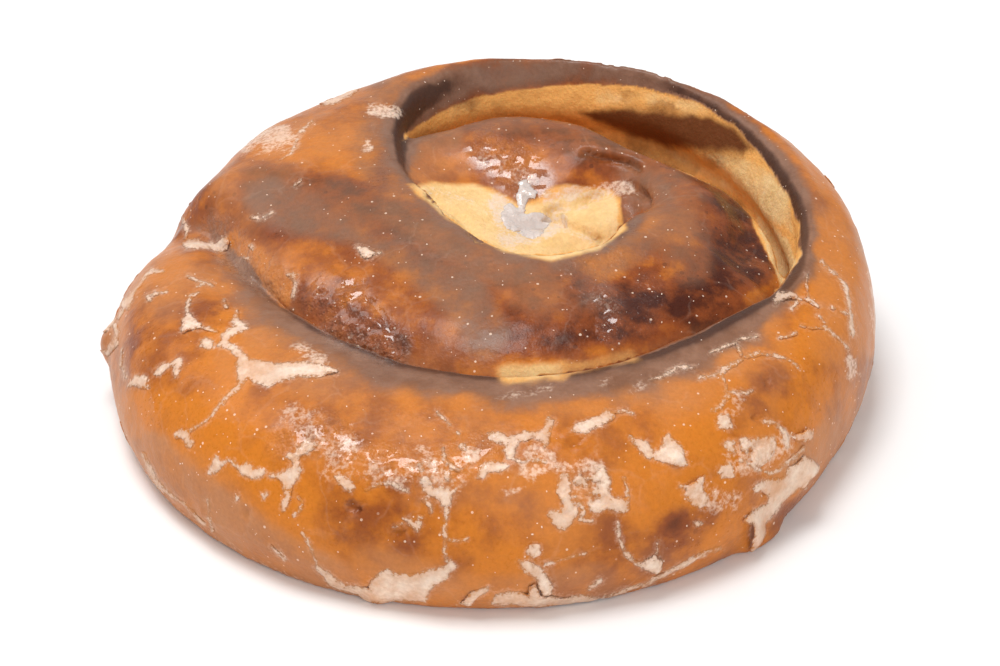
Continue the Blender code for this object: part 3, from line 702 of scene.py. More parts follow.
def hidden_glaze(points, layers):
    """How far inside the glaze each point is where the photo doesn't show it: a network of veins and patches."""
    depth = np.full(len(points), -5.0)
    outer = np.hypot(points[:, 0], points[:, 1]) > 50 * MM
    some = np.flatnonzero((layers["seen"] < 0.5) & outer & (points[:, 2] > 0.5 * MM))
    here = points[some]
    bent = here + 2.6 * MM * np.stack([clouds(here, 7 * MM, 2, s) for s in (7, 8, 9)], 1)
    split = cells(bent, 17 * MM, 2)
    vein = 0.9 * clouds(here, 9 * MM, 2, 10) - 0.1 - (split[:, 1] - split[:, 0]) * 17 / 2
    patch = 4 * (clouds(here * (1, 1, 1.4), 9 * MM, 4, 11) - 0.52)
    depth[some] = np.maximum(vein, patch)
    return depth


# --- The spiral ------------------------------------------------------------------------------------------------------


def along(rows, column, angles):
    """One column of a table of rows at the given angles, on a smooth curve through the rows."""
    table = np.array(rows, float)
    spots, values = table[:, 0], table[:, column]
    slopes = np.gradient(values, spots)
    held = np.clip(angles, spots[0], spots[-1])
    k = np.clip(np.searchsorted(spots, held) - 1, 0, len(spots) - 2)
    span = spots[k + 1] - spots[k]
    t = (held - spots[k]) / span
    return (
        values[k] * (2 * t**3 - 3 * t**2 + 1)
        + slopes[k] * span * (t**3 - 2 * t**2 + t)
        + values[k + 1] * (3 * t**2 - 2 * t**3)
        + slopes[k + 1] * span * (t**3 - t**2)
    )


def polar(points):
    """(Angle in degrees on the first turn, distance from the spiral's middle in millimetres, height)."""
    x, y = points[:, 0] - SPIRAL_MIDDLE[0], points[:, 1] - SPIRAL_MIDDLE[1]
    angle = np.degrees(np.arctan2(y, x)) % 360
    return np.where(angle < STRIP_START, angle + 360, angle), np.hypot(x, y) / MM, points[:, 2] / MM


# --- The dough's skin ------------------------------------------------------------------------------------------------


def select_only(thing):
    bpy.ops.object.select_all(action="DESELECT")
    thing.select_set(True)
    bpy.context.view_layer.objects.active = thing


def apply_modifier(thing, kind, **settings):
    modifier = thing.modifiers.new(kind.lower(), kind)
    for key, value in settings.items():
        setattr(modifier, key, value)
    select_only(thing)
    bpy.ops.object.modifier_apply(modifier=modifier.name)


# Some layers also carry painted light: the film and grey film partly painted sheen, the milky marks partly painted
# highlights, the stain partly painted shade.
LAYERS = ("browning", "film_and_sheen", "grey_and_sheen", "crumb", "stain_and_shade", "wet", "milky_and_highlight", "edge", "unseen")


def read_points(mesh):
    points = np.empty(len(mesh.vertices) * 3)
    mesh.vertices.foreach_get("co", points)
    normals = np.empty(len(mesh.vertices) * 3)
    mesh.vertex_normals.foreach_get("vector", normals)
    return points.reshape(-1, 3), normals.reshape(-1, 3)


def keep_layer(mesh, name, values):
    layer = mesh.attributes.get(name) or mesh.attributes.new(name, "FLOAT", "POINT")
    layer.data.foreach_set("value", np.asarray(values, np.float32))


def sight(thing, points, normals):
    """(1 where the photo shows a point and 0 where it is hidden, how squarely it faces the camera)."""
    place, _ = camera_place()
    to_camera = np.array(place) - points
    to_camera /= np.linalg.norm(to_camera, axis=1)[:, None]
    facing = (to_camera * normals).sum(1)
    tree = BVHTree.FromObject(thing, bpy.context.evaluated_depsgraph_get())
    seen = facing > 0.03
    for i in np.flatnonzero(seen):
        way = Vector(to_camera[i])
        if tree.ray_cast(Vector(points[i]) + way * 0.6 * MM, way, 0.1)[0] is not None:
            seen[i] = False
    return seen.astype(float), facing


def hidden_layers(points, normals, seen, noise):
    """The layers by rule alone, as they stay where the photo shows nothing."""
    angle, radius, height = polar(points)
    slow, middle, _ = noise
    layers = {name: np.zeros(len(points)) for name in ("film_and_sheen", "grey_and_sheen", "crumb", "stain_and_shade", "wet", "milky_and_highlight")}
    layers["browning"] = 0.2 + 0.36 * slow + 0.16 * middle
    layers["film_and_sheen"] = np.clip(0.18 + 0.4 * clouds(points, 14 * MM, 2, 4), 0, 1)
    base = eased((6 - height) / 5) * (seen < 0.5)
    layers["film_and_sheen"] = layers["film_and_sheen"] * (1 - base) + 0.8 * base
    under = eased((-normals[:, 2] - 0.75) / 0.2) * (height < 1)
    layers["browning"] += 0.25 * under
    layers["film_and_sheen"] *= 1 - under
    inner_crust = radius < along(RIM, 1, np.minimum(angle, STRIP_START + 360))
    layers["browning"] = np.where(inner_crust, 0.5 + 0.3 * slow, layers["browning"])

    # Inside the hollow and the pit the dough shows its crumb, under a brown skin at the edge.
    second = angle + 360
    in_hollow = (
        (second > FREE_EDGE[0][0]) & (second < FREE_EDGE[-1][0])
        & (radius > along(FREE_EDGE, 1, second) - 1.5) & (radius < along(RIM, 1, angle) + 2)
        & (height < along(RIM, 2, angle) - 4)
    )
    in_pit = (
        (second < RIM_END) & (radius < along(RIM, 1, second) + 1)
        & (height < along(RIM, 2, second) - 1.6) & (height > 8)
    )
    layers["crumb"] = np.where(in_hollow | in_pit, 1.0, 0.0)
    layers["stain_and_shade"] = np.where(in_hollow, eased((middle + slow + 0.1) * 1.6) * 0.45, 0)
    return layers


def draw_marks(layers, points, seen, noise):
    """Draws the photo's marks over the layers, on the points that it shows."""
    slow, middle, quick = noise
    shown = seen > 0.5
    places = to_photo(points) + 3.0 * np.stack([middle, slow], 1) + 1.5 * quick[:, None]
    for layer, value, half_width, softness, line in BROAD_MARKS_PX:
        some = near(places, line, half_width + softness)
        some = some[shown[some]]
        share = eased((half_width + softness - line_gap(places[some], line)) / softness)
        layers[layer][some] += (value - layers[layer][some]) * share
    for layer, value, softness, outline in BROAD_PATCHES_PX:
        some = near(places, outline, softness)
        some = some[shown[some]]
        share = eased((outline_depth(places[some], outline) + softness / 2) / softness)
        layers[layer][some] += (value - layers[layer][some]) * share
    places = frayed(points, to_photo(points))
    for strength, half_width, softness, line in MILKY_AND_HIGHLIGHT_MARKS_PX:
        some = near(places, line, half_width + softness)
        some = some[shown[some]]
        share = strength * eased((half_width + softness - line_gap(places[some], line)) / softness)
        layers["milky_and_highlight"][some] = np.maximum(layers["milky_and_highlight"][some], share)


def strip_edge(points, crumb, noise):
    """How dark the edge along the strip is at every point."""
    angle, radius, height = polar(points)
    _, middle, quick = noise
    edge = np.zeros(len(points))
    for turn in (0, 360):
        at = angle + turn
        over = radius - along(RIM, 1, at)
        drop = along(RIM, 2, at) - height
        width = along(RIM_TONE, 2, at) * (1 + 0.3 * middle)
        deep = along(RIM_TONE, 3, at)
        on_top = eased(2.5 - drop / 2.5)
        top = eased(1.08 - over / width) * on_top
        wall = eased(1.4 + (over - 0.3) / deep) * eased(1.5 - drop / deep)
        crest = 0.45 * eased(1.2 - np.abs(over) / 1.6) * on_top
        here = (np.where(over > 0, top, wall) + crest) * along(RIM_TONE, 1, at)
        edge = np.maximum(edge, here * eased((RIM_END - at) / 20))
    return edge * (1 + 0.12 * quick) * (height > 5) * (1 - 0.8 * eased(2 * crumb - 0.5))


def roll_layers(points, normals, seen):
    """The crust's layers, each from 0 to 1 at every point."""
    noise = clouds(points, 22 * MM, 2, 1), clouds(points, 7 * MM, 2, 2), clouds(points, 2.5 * MM, 2, 3)
    layers = hidden_layers(points, normals, seen, noise)
    draw_marks(layers, points, seen, noise)
    layers["edge"] = strip_edge(points, layers["crumb"], noise)
    return {name: np.clip(values, 0, 1) for name, values in layers.items()}


def roll_relief(points, normals, seen, layers, sizes):
    """How far each point stands out from the solid's smooth surface."""
    angle, radius, height = polar(points)
    free = eased(height / 1.5)
    lift = sizes.undulation * clouds(points, 11 * MM, 2, 12)
    lift += sizes.grain * clouds(points, 2.4 * MM, 2, 13)
    lift += 0.06 * MM * layers["edge"] * clouds(points, 1.6 * MM, 1, 14)
    lift += 0.12 * MM * layers["crumb"] * clouds(points, 1.4 * MM, 2, 15)
    bubbles = cells(points, 1.7 * MM, 1)[:, 0]
    lift += 0.3 * MM * layers["wet"] * np.clip(0.55 - bubbles, 0, 1) / 0.55
    places = frayed(points, to_photo(points))
    shown = seen > 0.5
    ridges = 1 - 2.2 * np.abs(clouds(points, 2.0 * MM, 3, 16))
    for rise, half_width, line in CRAGS_PX:
        some = near(places, line, half_width)
        some = some[shown[some]]
        share = eased(1.4 * (1 - line_gap(places[some], line) / half_width))
        lift[some] += rise * MM * 0.6 * share * ridges[some]
    for depth, half_width, line in GROOVES_PX:
        some = near(places, line, 3 * half_width + 3)
        some = some[shown[some]]
        share = eased(1.3 - line_gap(places[some], line) / (half_width + 1.5))
        lift[some] -= depth * MM * share
    lift *= free
    seam = np.abs(radius - along(RIM, 1, np.minimum(angle, STRIP_START + 360)) - 1.5)
    below = (normals[:, 2] < -0.8) & (height < 1)
    lift -= 0.7 * MM * below * eased(1.6 - seam / 0.9)
    return lift


def lean_lips(points):
    """Moves the strip's lips in over the grooves."""
    angle, radius, height = polar(points)
    pull = np.zeros(len(points))
    for turn in (0, 360):
        at = angle + turn
        over = radius - along(RIM, 1, at)
        table = np.array(LIP_LEAN)
        reach = np.interp(at, table[:, 0], table[:, 1]) * (at < RIM_END + 6)
        level = eased((height - along(RIM, 2, at) + 5) / 3)
        pull = np.maximum(pull, reach * eased((over + 1) / 1.6) * eased((11 - over) / 7) * level)
    away = points[:, :2] - np.array(SPIRAL_MIDDLE)
    points[:, :2] -= away * (pull * MM / np.maximum(np.hypot(*away.T), MM))[:, None]


def make_skin(sizes):
    """A fine copy of the solid, with the crust's relief and layers."""
    select_only(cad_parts["roll"])
    bpy.ops.object.duplicate()
    skin = bpy.context.active_object
    skin.name = skin.data.name = "dough"
    skin.parent = None
    for key in list(skin.keys()):
        del skin[key]
    bpy.ops.object.mode_set(mode="EDIT")
    bpy.ops.mesh.select_all(action="SELECT")
    bpy.ops.mesh.remove_doubles(threshold=1e-6)
    bpy.ops.object.mode_set(mode="OBJECT")
    apply_modifier(skin, "REMESH", mode="VOXEL", voxel_size=sizes.skin_grid)
    apply_modifier(skin, "SMOOTH", factor=0.5, iterations=8)
    mesh = skin.data
    points, _ = read_points(mesh)
    lean_lips(points)
    mesh.vertices.foreach_set("co", points.ravel())
    mesh.update()
    apply_modifier(skin, "SMOOTH", factor=0.5, iterations=2)
    points, normals = read_points(mesh)
    seen, facing = sight(skin, points, normals)
    layers = roll_layers(points, normals, seen)
    points += normals * roll_relief(points, normals, seen, layers, sizes)[:, None]
    points[:, 2] = np.maximum(points[:, 2], 0)
    mesh.vertices.foreach_set("co", points.ravel())
    mesh.update()
    for name, values in layers.items():
        keep_layer(mesh, name, values)
    keep_layer(mesh, "unseen", 1 - seen)
    sights = {"seen": seen, "facing": facing}
    keep_layer(mesh, "glaze", np.maximum(drawn_glaze(points, sights), hidden_glaze(points, sights)) - 0.1)
    keep_layer(mesh, "seen", seen)
    keep_layer(mesh, "facing", facing)
    return skin


# --- Thin pieces lifted off the skin ---------------------------------------------------------------------------------

# How often a sheet's triangles are split, how far past its outline it reaches, the glaze's own thickness, how far its
# rim stands off the skin, and the share of faces kept in the largest sheet.
SHEET_SPLITS = 2
GLAZE_MARGIN_MM = 0.04
ICING_MARGIN_MM = 0.1
GLAZE_SHEET = 0.12 * MM
GLAZE_SEAT = 0.03 * MM
FACES_KEPT = 0.7


def skin_sheet(skin, layers):
    """The skin as arrays: its points, normals, named layers and triangles."""
    mesh = skin.data
    points, normals = read_points(mesh)
    mesh.calc_loop_triangles()
    faces = np.empty(len(mesh.loop_triangles) * 3, np.int32)
    mesh.loop_triangles.foreach_get("vertices", faces)
    kept = {}
    for name in layers:
        values = np.empty(len(points), np.float32)
        mesh.attributes[name].data.foreach_get("value", values)
        kept[name] = values
    return points, normals, kept, faces.reshape(-1, 3)


def cut_sheet(sheet, wanted):
    """The sheet with only the wanted triangles."""
    points, normals, layers, faces = sheet
    used, places = np.unique(faces[wanted], return_inverse=True)
    return points[used], normals[used], {k: v[used] for k, v in layers.items()}, places.reshape(-1, 3)


def split_sheet(sheet):
    """The sheet with every triangle split into four, rounded to follow its normals."""
    points, normals, layers, faces = sheet
    ends = np.sort(np.concatenate([faces[:, (0, 1)], faces[:, (1, 2)], faces[:, (2, 0)]]), axis=1).astype(np.int64)
    keys, which = np.unique(ends[:, 0] * len(points) + ends[:, 1], return_inverse=True)
    start, end = keys // len(points), keys % len(points)
    middle = (points[start] + points[end]) / 2
    rounded = middle.copy()
    for side in (start, end):
        rounded -= 0.375 * ((middle - points[side]) * normals[side]).sum(1)[:, None] * normals[side]
    turned = normals[start] + normals[end]
    turned /= np.linalg.norm(turned, axis=1)[:, None]
    ab, bc, ca = which.reshape(3, -1) + len(points)
    a, b, c = faces.T
    quarters = np.concatenate([np.stack(f, 1) for f in ((a, ab, ca), (ab, b, bc), (ca, bc, c), (ab, bc, ca))])
    layers = {k: np.concatenate([v, (v[start] + v[end]) / 2]) for k, v in layers.items()}
    return np.concatenate([points, rounded]), np.concatenate([normals, turned]), layers, quarters


def lifted_sheet(skin, layers, depth_of, margin, splits):
    """The part of the skin where the depth is above minus the margin, split finely, and its depths."""
    sheet = skin_sheet(skin, layers)
    for step in range(splits + 1):
        depth = depth_of(sheet[0], sheet[2])
        sheet = cut_sheet(sheet, depth[sheet[3]].max(1) > -margin - 0.9 * (splits - step))
        if step < splits:
            sheet = split_sheet(sheet)
    return sheet, depth_of(sheet[0], sheet[2])


def sheet_object(name, points, faces, layers):
    mesh = bpy.data.meshes.new(name)
    mesh.from_pydata(points.tolist(), [], faces.tolist())
    for key, values in layers.items():
        keep_layer(mesh, key, values)
    piece = bpy.data.objects.new(name, mesh)
    bpy.context.scene.collection.objects.link(piece)
    return piece


def rides(piece):
    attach(piece, "root")


# --- Finishes --------------------------------------------------------------------------------------------------------


def put(tree, kind, **inputs):
    """A node, with each named input set to a value or joined to another node's socket."""
    made = tree.nodes.new(kind)
    for label, value in inputs.items():
        socket = made.inputs[label.replace("_", " ")]
        if isinstance(value, bpy.types.NodeSocket):
            tree.links.new(value, socket)
        else:
            socket.default_value = value
    return made


def math_node(tree, kind, *values):
    """The result of a Math node on two or three values or sockets."""
    made = tree.nodes.new("ShaderNodeMath")
    made.operation = kind
    for socket, value in zip(made.inputs, values):
        if isinstance(value, bpy.types.NodeSocket):
            tree.links.new(value, socket)
        else:
            socket.default_value = value
    return made.outputs[0]


def scaled(tree, value, factor, offset):
    """The value times a factor, plus an offset."""
    return math_node(tree, "MULTIPLY_ADD", value, factor, offset)


def product(tree, value, *factors):
    for factor in factors:
        value = math_node(tree, "MULTIPLY", value, factor)
    return value


def nudged(tree, value, noise, amount):
    """The value moved up and down by a noise that lies between 0 and 1."""
    return scaled(tree, math_node(tree, "SUBTRACT", noise, 0.5), amount, value)


def blend_colour(tree, share, under, over, kind="MIX"):
    """A colour or socket over another, or a blend of another kind."""
    made = tree.nodes.new("ShaderNodeMix")
    made.data_type = "RGBA"
    made.blend_type = kind
    for socket, value in ((made.inputs[0], share), (made.inputs[6], under), (made.inputs[7], over)):
        if isinstance(value, bpy.types.NodeSocket):
            tree.links.new(value, socket)
        elif isinstance(value, (int, float)):
            socket.default_value = value
        else:
            socket.default_value = (*value, 1.0)[:4]
    return made.outputs[2]


def remap(tree, value, from_low, from_high, to_low=0.0, to_high=1.0):
    made = tree.nodes.new("ShaderNodeMapRange")
    made.interpolation_type = "SMOOTHSTEP"
    tree.links.new(value, made.inputs["Value"])
    for label, number in zip(("From Min", "From Max", "To Min", "To Max"), (from_low, from_high, to_low, to_high)):
        if isinstance(number, bpy.types.NodeSocket):
            tree.links.new(number, made.inputs[label])
        else:
            made.inputs[label].default_value = number
    return made.outputs["Result"]


def layer_value(tree, name):
    made = tree.nodes.new("ShaderNodeAttribute")
    made.attribute_name = name
    return made.outputs["Fac"]


def new_group(name, inputs, outputs):
    """An empty group of shader nodes with its inputs and outputs, and the two nodes inside that carry them."""
    group = bpy.data.node_groups.new(name, "ShaderNodeTree")
    for label, kind, value in inputs:
        socket = group.interface.new_socket(name=label, in_out="INPUT", socket_type=kind)
        if value is not None:
            socket.default_value = value
    for label, kind in outputs:
        group.interface.new_socket(name=label, in_out="OUTPUT", socket_type=kind)
    return group, group.nodes.new("NodeGroupInput"), group.nodes.new("NodeGroupOutput")


def use_group(tree, group, **inputs):
    made = tree.nodes.new("ShaderNodeGroup")
    made.node_tree = group
    for label, value in inputs.items():
        socket = made.inputs[label.replace("_", " ")]
        if isinstance(value, bpy.types.NodeSocket):
            tree.links.new(value, socket)
        else:
            socket.default_value = value
    return made


NUMBER, COLOUR, VECTOR = "NodeSocketFloat", "NodeSocketColor", "NodeSocketVector"


def grain_group():
    """Mottled noise: a value from 0 to 1."""
    group, given, result = new_group(
        "crust_grain", (("Place", VECTOR, None), ("Scale", NUMBER, 500.0), ("Detail", NUMBER, 4.0),
                        ("Low", NUMBER, 0.35), ("High", NUMBER, 0.65)), (("Value", NUMBER),)
    )
    wave = put(group, "ShaderNodeTexNoise", Vector=given.outputs["Place"], Scale=given.outputs["Scale"],
               Detail=given.outputs["Detail"], Roughness=0.6)
    value = remap(group, wave.outputs[0], given.outputs["Low"], given.outputs["High"])
    group.links.new(value, result.inputs["Value"])
    return group


def browning_group():
    """The crust's colour from pale gold to nearly black as it browns."""
    group, given, result = new_group(
        "browned_crust", (("Browning", NUMBER, 0.3), ("Golden", COLOUR, None), ("Brown", COLOUR, None),
                          ("Dark", COLOUR, None)), (("Color", COLOUR),)
    )
    first = remap(group, given.outputs["Browning"], 0.0, 0.55)
    second = remap(group, given.outputs["Browning"], 0.45, 1.0)
    colour = blend_colour(group, first, given.outputs["Golden"], given.outputs["Brown"])
    colour = blend_colour(group, second, colour, given.outputs["Dark"])
    group.links.new(colour, result.inputs["Color"])
    return group


def crackle_group():
    """Fine veins where the glaze has cracked: a mask of the veins and a value for each plate between them."""
    group, given, result = new_group(
        "cracked_glaze", (("Place", VECTOR, None), ("Scale", NUMBER, 120.0), ("Width", NUMBER, 0.04),
                          ("Waviness", NUMBER, 0.004)), (("Veins", NUMBER), ("Plates", NUMBER))
    )
    wave = put(group, "ShaderNodeTexNoise", Vector=given.outputs["Place"], Scale=260.0, Detail=3.0)
    centred = group.nodes.new("ShaderNodeVectorMath")
    centred.operation = "SUBTRACT"
    group.links.new(wave.outputs["Color"], centred.inputs[0])
    centred.inputs[1].default_value = (0.5, 0.5, 0.5)
    scaled = group.nodes.new("ShaderNodeVectorMath")
    scaled.operation = "SCALE"
    group.links.new(centred.outputs[0], scaled.inputs[0])
    group.links.new(given.outputs["Waviness"], scaled.inputs["Scale"])
    moved = group.nodes.new("ShaderNodeVectorMath")
    group.links.new(given.outputs["Place"], moved.inputs[0])
    group.links.new(scaled.outputs[0], moved.inputs[1])
    veins = group.nodes.new("ShaderNodeTexVoronoi")
    veins.feature = "DISTANCE_TO_EDGE"
    group.links.new(moved.outputs[0], veins.inputs["Vector"])
    group.links.new(given.outputs["Scale"], veins.inputs["Scale"])
    plates = group.nodes.new("ShaderNodeTexVoronoi")
    group.links.new(moved.outputs[0], plates.inputs["Vector"])
    group.links.new(given.outputs["Scale"], plates.inputs["Scale"])
    mask = math_node(group, "SUBTRACT", 1.0, remap(group, veins.outputs["Distance"], 0.0, given.outputs["Width"]))
    tint = group.nodes.new("ShaderNodeSeparateColor")
    group.links.new(plates.outputs["Color"], tint.inputs[0])
    group.links.new(mask, result.inputs["Veins"])
    group.links.new(tint.outputs[0], result.inputs["Plates"])
    return group


def bubble_group():
    """The height of small bubbles set in a glaze."""
    group, given, result = new_group(
        "glaze_bubbles", (("Place", VECTOR, None), ("Scale", NUMBER, 700.0)), (("Height", NUMBER),)
    )
    spots = put(group, "ShaderNodeTexVoronoi", Vector=given.outputs["Place"], Scale=given.outputs["Scale"])
    height = remap(group, spots.outputs["Distance"], 0.05, 0.55, 1.0, 0.0)
    group.links.new(height, result.inputs["Height"])
    return group


def speck_group():
    """A mask of scattered small specks."""
    group, given, result = new_group(
        "fine_specks", (("Place", VECTOR, None), ("Scale", NUMBER, 300.0), ("Size", NUMBER, 0.18)),
        (("Mask", NUMBER),)
    )
    spots = put(group, "ShaderNodeTexVoronoi", Vector=given.outputs["Place"], Scale=given.outputs["Scale"])
    pick = group.nodes.new("ShaderNodeSeparateColor")
    group.links.new(spots.outputs["Color"], pick.inputs[0])
    rare = remap(group, pick.outputs[0], 0.72, 0.78)
    size = math_node(group, "MULTIPLY", given.outputs["Size"], pick.outputs[1])
    near_spot = math_node(group, "LESS_THAN", spots.outputs["Distance"], size)
    mask = math_node(group, "MULTIPLY", rare, near_spot)
    group.links.new(mask, result.inputs["Mask"])
    return group


def new_finish(name):
    """A new material: (the material, its node tree, its shader, its place in the object)."""
    finish = bpy.data.materials.new(name)
    finish.use_nodes = True
    shader = finish.node_tree.nodes["Principled BSDF"]
    place = finish.node_tree.nodes.new("ShaderNodeTexCoord").outputs["Object"]
    return finish, finish.node_tree, shader, place


def groups():
    """The node groups that the finishes share, each built once."""
    makers = {"grain": grain_group, "browning": browning_group, "crackle": crackle_group, "bubbles": bubble_group,
              "specks": speck_group}
    names = {"grain": "crust_grain", "browning": "browned_crust", "crackle": "cracked_glaze",
             "bubbles": "glaze_bubbles", "specks": "fine_specks"}
    return {key: bpy.data.node_groups.get(names[key]) or make() for key, make in makers.items()}


def opaque(colour):
    return (*colour, 1.0)


def dimmed(colour, factors):
    return tuple(a * b for a, b in zip(colour, factors))


def dough_noises(tree, made, place):
    """The dough's noises by name, each from 0 to 1."""
    return {
        name: use_group(tree, made["grain"], Place=place, Scale=scale, Detail=detail, Low=low, High=1 - low).outputs[0]
        for name, scale, detail, low in (
            ("streak", 90.0, 5.0, 0.35), ("mottle", 230.0, 6.0, 0.3), ("crinkle", 520.0, 3.0, 0.3),
            ("fine", 1600.0, 4.0, 0.3), ("dust", 3600.0, 3.0, 0.3),
        )
    }


def crust_colour(tree, made, place, colours, noise, layer):
    """The browned crust with its pores, film and grey film (both partly painted sheen), hairline cracks and specks:
    (colour, film's share, cracks' share).
    """
    contrast = scaled(tree, remap(tree, layer["browning"], 0.1, 0.6), 0.28, 0.2)
    toned = nudged(tree, layer["browning"], noise["mottle"], contrast)
    toned = nudged(tree, toned, noise["streak"], 0.1)
    colour = use_group(tree, made["browning"], Browning=toned, Golden=opaque(colours.golden),
                       Brown=opaque(colours.brown), Dark=opaque(colours.dark)).outputs[0]

    pores = use_group(tree, made["specks"], Place=place, Scale=800.0, Size=0.35).outputs[0]
    pored = product(tree, pores, remap(tree, layer["browning"], 0.2, 0.6), 0.55)
    colour = blend_colour(tree, pored, colour, colours.dark)
    # The milky film, partly painted sheen.
    cloudy_and_sheen = product(tree, layer["film_and_sheen"], scaled(tree, noise["streak"], 0.45, 0.5))
    colour = blend_colour(tree, cloudy_and_sheen, colour, colours.film_and_sheen)
    # The grey film, in places painted sheen.
    greyed_and_sheen = product(tree, layer["grey_and_sheen"], scaled(tree, noise["mottle"], 0.4, 0.5))
    colour = blend_colour(tree, greyed_and_sheen, colour, colours.grey_and_sheen)

    outside = math_node(tree, "SUBTRACT", 1.0, math_node(tree, "MAXIMUM", layer["crumb"], layer["edge"]))
    veins = use_group(tree, made["crackle"], Place=place, Scale=95.0, Width=0.035)
    vein_strength = scaled(tree, layer["unseen"], 0.1, 0.04)
    cracked = product(tree, veins.outputs["Veins"], outside, remap(tree, noise["streak"], 0.35, 0.8), vein_strength)
    colour = blend_colour(tree, cracked, colour, colours.glaze)
    specks = use_group(tree, made["specks"], Place=place, Scale=850.0, Size=0.2).outputs[0]
    colour = blend_colour(tree, product(tree, specks, outside, 0.6), colour, colours.glaze)

    lip = blend_colour(tree, noise["mottle"], colours.lip, colours.lip_film)
    lip = blend_colour(tree, remap(tree, layer["edge"], 0.66, 1.05), lip, colours.lip_crest)
    edged = remap(tree, nudged(tree, layer["edge"], noise["mottle"], 0.16), 0.02, 0.55)
    return blend_colour(tree, product(tree, edged, 0.9), colour, lip), cloudy_and_sheen, cracked


def crumb_colour(tree, colours, noise, layer, colour):
    """The colour with the crumb and the filling's stain over it, the stain partly painted shade: (colour, crumb's
    share).
    """
    crumb = blend_colour(tree, noise["mottle"], dimmed(colours.crumb, (0.88, 0.82, 0.7)), colours.crumb)
    toast = nudged(tree, layer["browning"], noise["streak"], 0.25)
    crumb = blend_colour(tree, remap(tree, toast, 0.05, 0.4), crumb, colours.golden_crumb)
    crumb = blend_colour(tree, remap(tree, toast, 0.4, 1.0), crumb, colours.toasted_crumb)
    crumb_share = remap(tree, nudged(tree, layer["crumb"], noise["streak"], 0.3), 0.15, 0.95)
    colour = blend_colour(tree, crumb_share, colour, crumb)
    # The filling's stain, partly painted shade under the hollow's ledge.
    stained_and_shaded = remap(tree, nudged(tree, layer["stain_and_shade"], noise["mottle"], 0.2), 0.0, 0.9)
    return blend_colour(tree, product(tree, stained_and_shaded, 0.95), colour, colours.filling_and_shade), crumb_share


def glazed_colour(tree, colours, noise, layer, colour, crumb_share):
    """The colour with the dried glaze over it, from milky marks, some of them painted highlights, to thick flakes:
    (colour, flakes' share).
    """
    # The milky marks, partly painted highlights and painted reflections.
    grains = nudged(tree, layer["milky_and_highlight"], noise["fine"], 0.5)
    grains = nudged(tree, grains, noise["mottle"], 0.5)
    milk_and_highlight = product(tree, remap(tree, grains, 0.15, 0.8), scaled(tree, layer["milky_and_highlight"], 0.6, 0.3),
                   remap(tree, layer["milky_and_highlight"], 0.0, 0.1))
    colour = blend_colour(tree, milk_and_highlight, colour, blend_colour(tree, crumb_share, colours.glaze, colours.icing))

    # Flakes are thin and grainy at the rim and thicker within, with a faint halo round them.
    depth = nudged(tree, layer["glaze"], noise["fine"], 0.5)
    depth = nudged(tree, depth, noise["dust"], 0.35)
    depth = nudged(tree, depth, noise["mottle"], 0.4)
    thick = scaled(tree, noise["mottle"], 0.3, scaled(tree, noise["streak"], 0.25, 0.42))
    glazed = product(tree, remap(tree, depth, -0.1, 0.16), thick)
    thin_glaze = dimmed(colours.glaze, (0.9, 0.78, 0.72))
    core = product(tree, noise["mottle"], remap(tree, depth, 0.1, 0.9))
    halo = product(tree, remap(tree, depth, -0.8, 0.1), scaled(tree, noise["mottle"], 0.3, 0.06))
    colour = blend_colour(tree, halo, colour, thin_glaze)
    return blend_colour(tree, glazed, colour, blend_colour(tree, core, thin_glaze, colours.glaze)), glazed


def dough_finish(colours):
    """The finish of the dough and of the glaze on it, from the layers that their points carry."""
    finish, tree, shader, place = new_finish("baked_dough")
    made = groups()
    noise = dough_noises(tree, made, place)
    layer = {name: layer_value(tree, name) for name in (*LAYERS, "glaze")}
    fine, mottle, wet = noise["fine"], noise["mottle"], layer["wet"]

    colour, cloudy_and_sheen, cracked = crust_colour(tree, made, place, colours, noise, layer)
    colour, crumb_share = crumb_colour(tree, colours, noise, layer, colour)
    colour, glazed = glazed_colour(tree, colours, noise, layer, colour, crumb_share)
    grainy = blend_colour(tree, fine, (0.93, 0.92, 0.91), (1.04, 1.04, 1.04))
    tree.links.new(blend_colour(tree, 1.0, colour, grainy, "MULTIPLY"), shader.inputs["Base Color"])

    dry = math_node(tree, "MAXIMUM", crumb_share, product(tree, cloudy_and_sheen, 0.35))
    dry = math_node(tree, "MAXIMUM", dry, product(tree, glazed, 0.6))
    rough = scaled(tree, fine, 0.1, scaled(tree, dry, 0.42, 0.26))
    tree.links.new(scaled(tree, wet, -0.16, rough), shader.inputs["Roughness"])
    coat = product(tree, math_node(tree, "SUBTRACT", 1.0, dry), scaled(tree, wet, 0.9, 0.06))
    tree.links.new(coat, shader.inputs["Coat Weight"])
    shader.inputs["Coat Roughness"].default_value = 0.09
    shader.inputs["Specular IOR Level"].default_value = 0.17
    shader.inputs["Subsurface Weight"].default_value = 0.12
    shader.inputs["Subsurface Radius"].default_value = (1.0, 0.45, 0.2)
    shader.inputs["Subsurface Scale"].default_value = 2 * MM

    bubbles = use_group(tree, made["bubbles"], Place=place, Scale=620.0).outputs[0]
    tiny = use_group(tree, made["bubbles"], Place=place, Scale=1500.0).outputs[0]
    height = product(tree, scaled(tree, noise["crinkle"], 1.8, bubbles), wet)
    for value, factor in (
        (product(tree, tiny, wet), 0.5), (fine, 0.12), (mottle, 0.35), (product(tree, fine, layer["crumb"]), 0.3),
        (cracked, 0.8), (glazed, 0.6),
    ):
        height = scaled(tree, value, factor, height)
    bump = put(tree, "ShaderNodeBump", Height=height, Distance=0.25 * MM, Strength=0.7)
    tree.links.new(bump.outputs[0], shader.inputs["Normal"])
    return finish


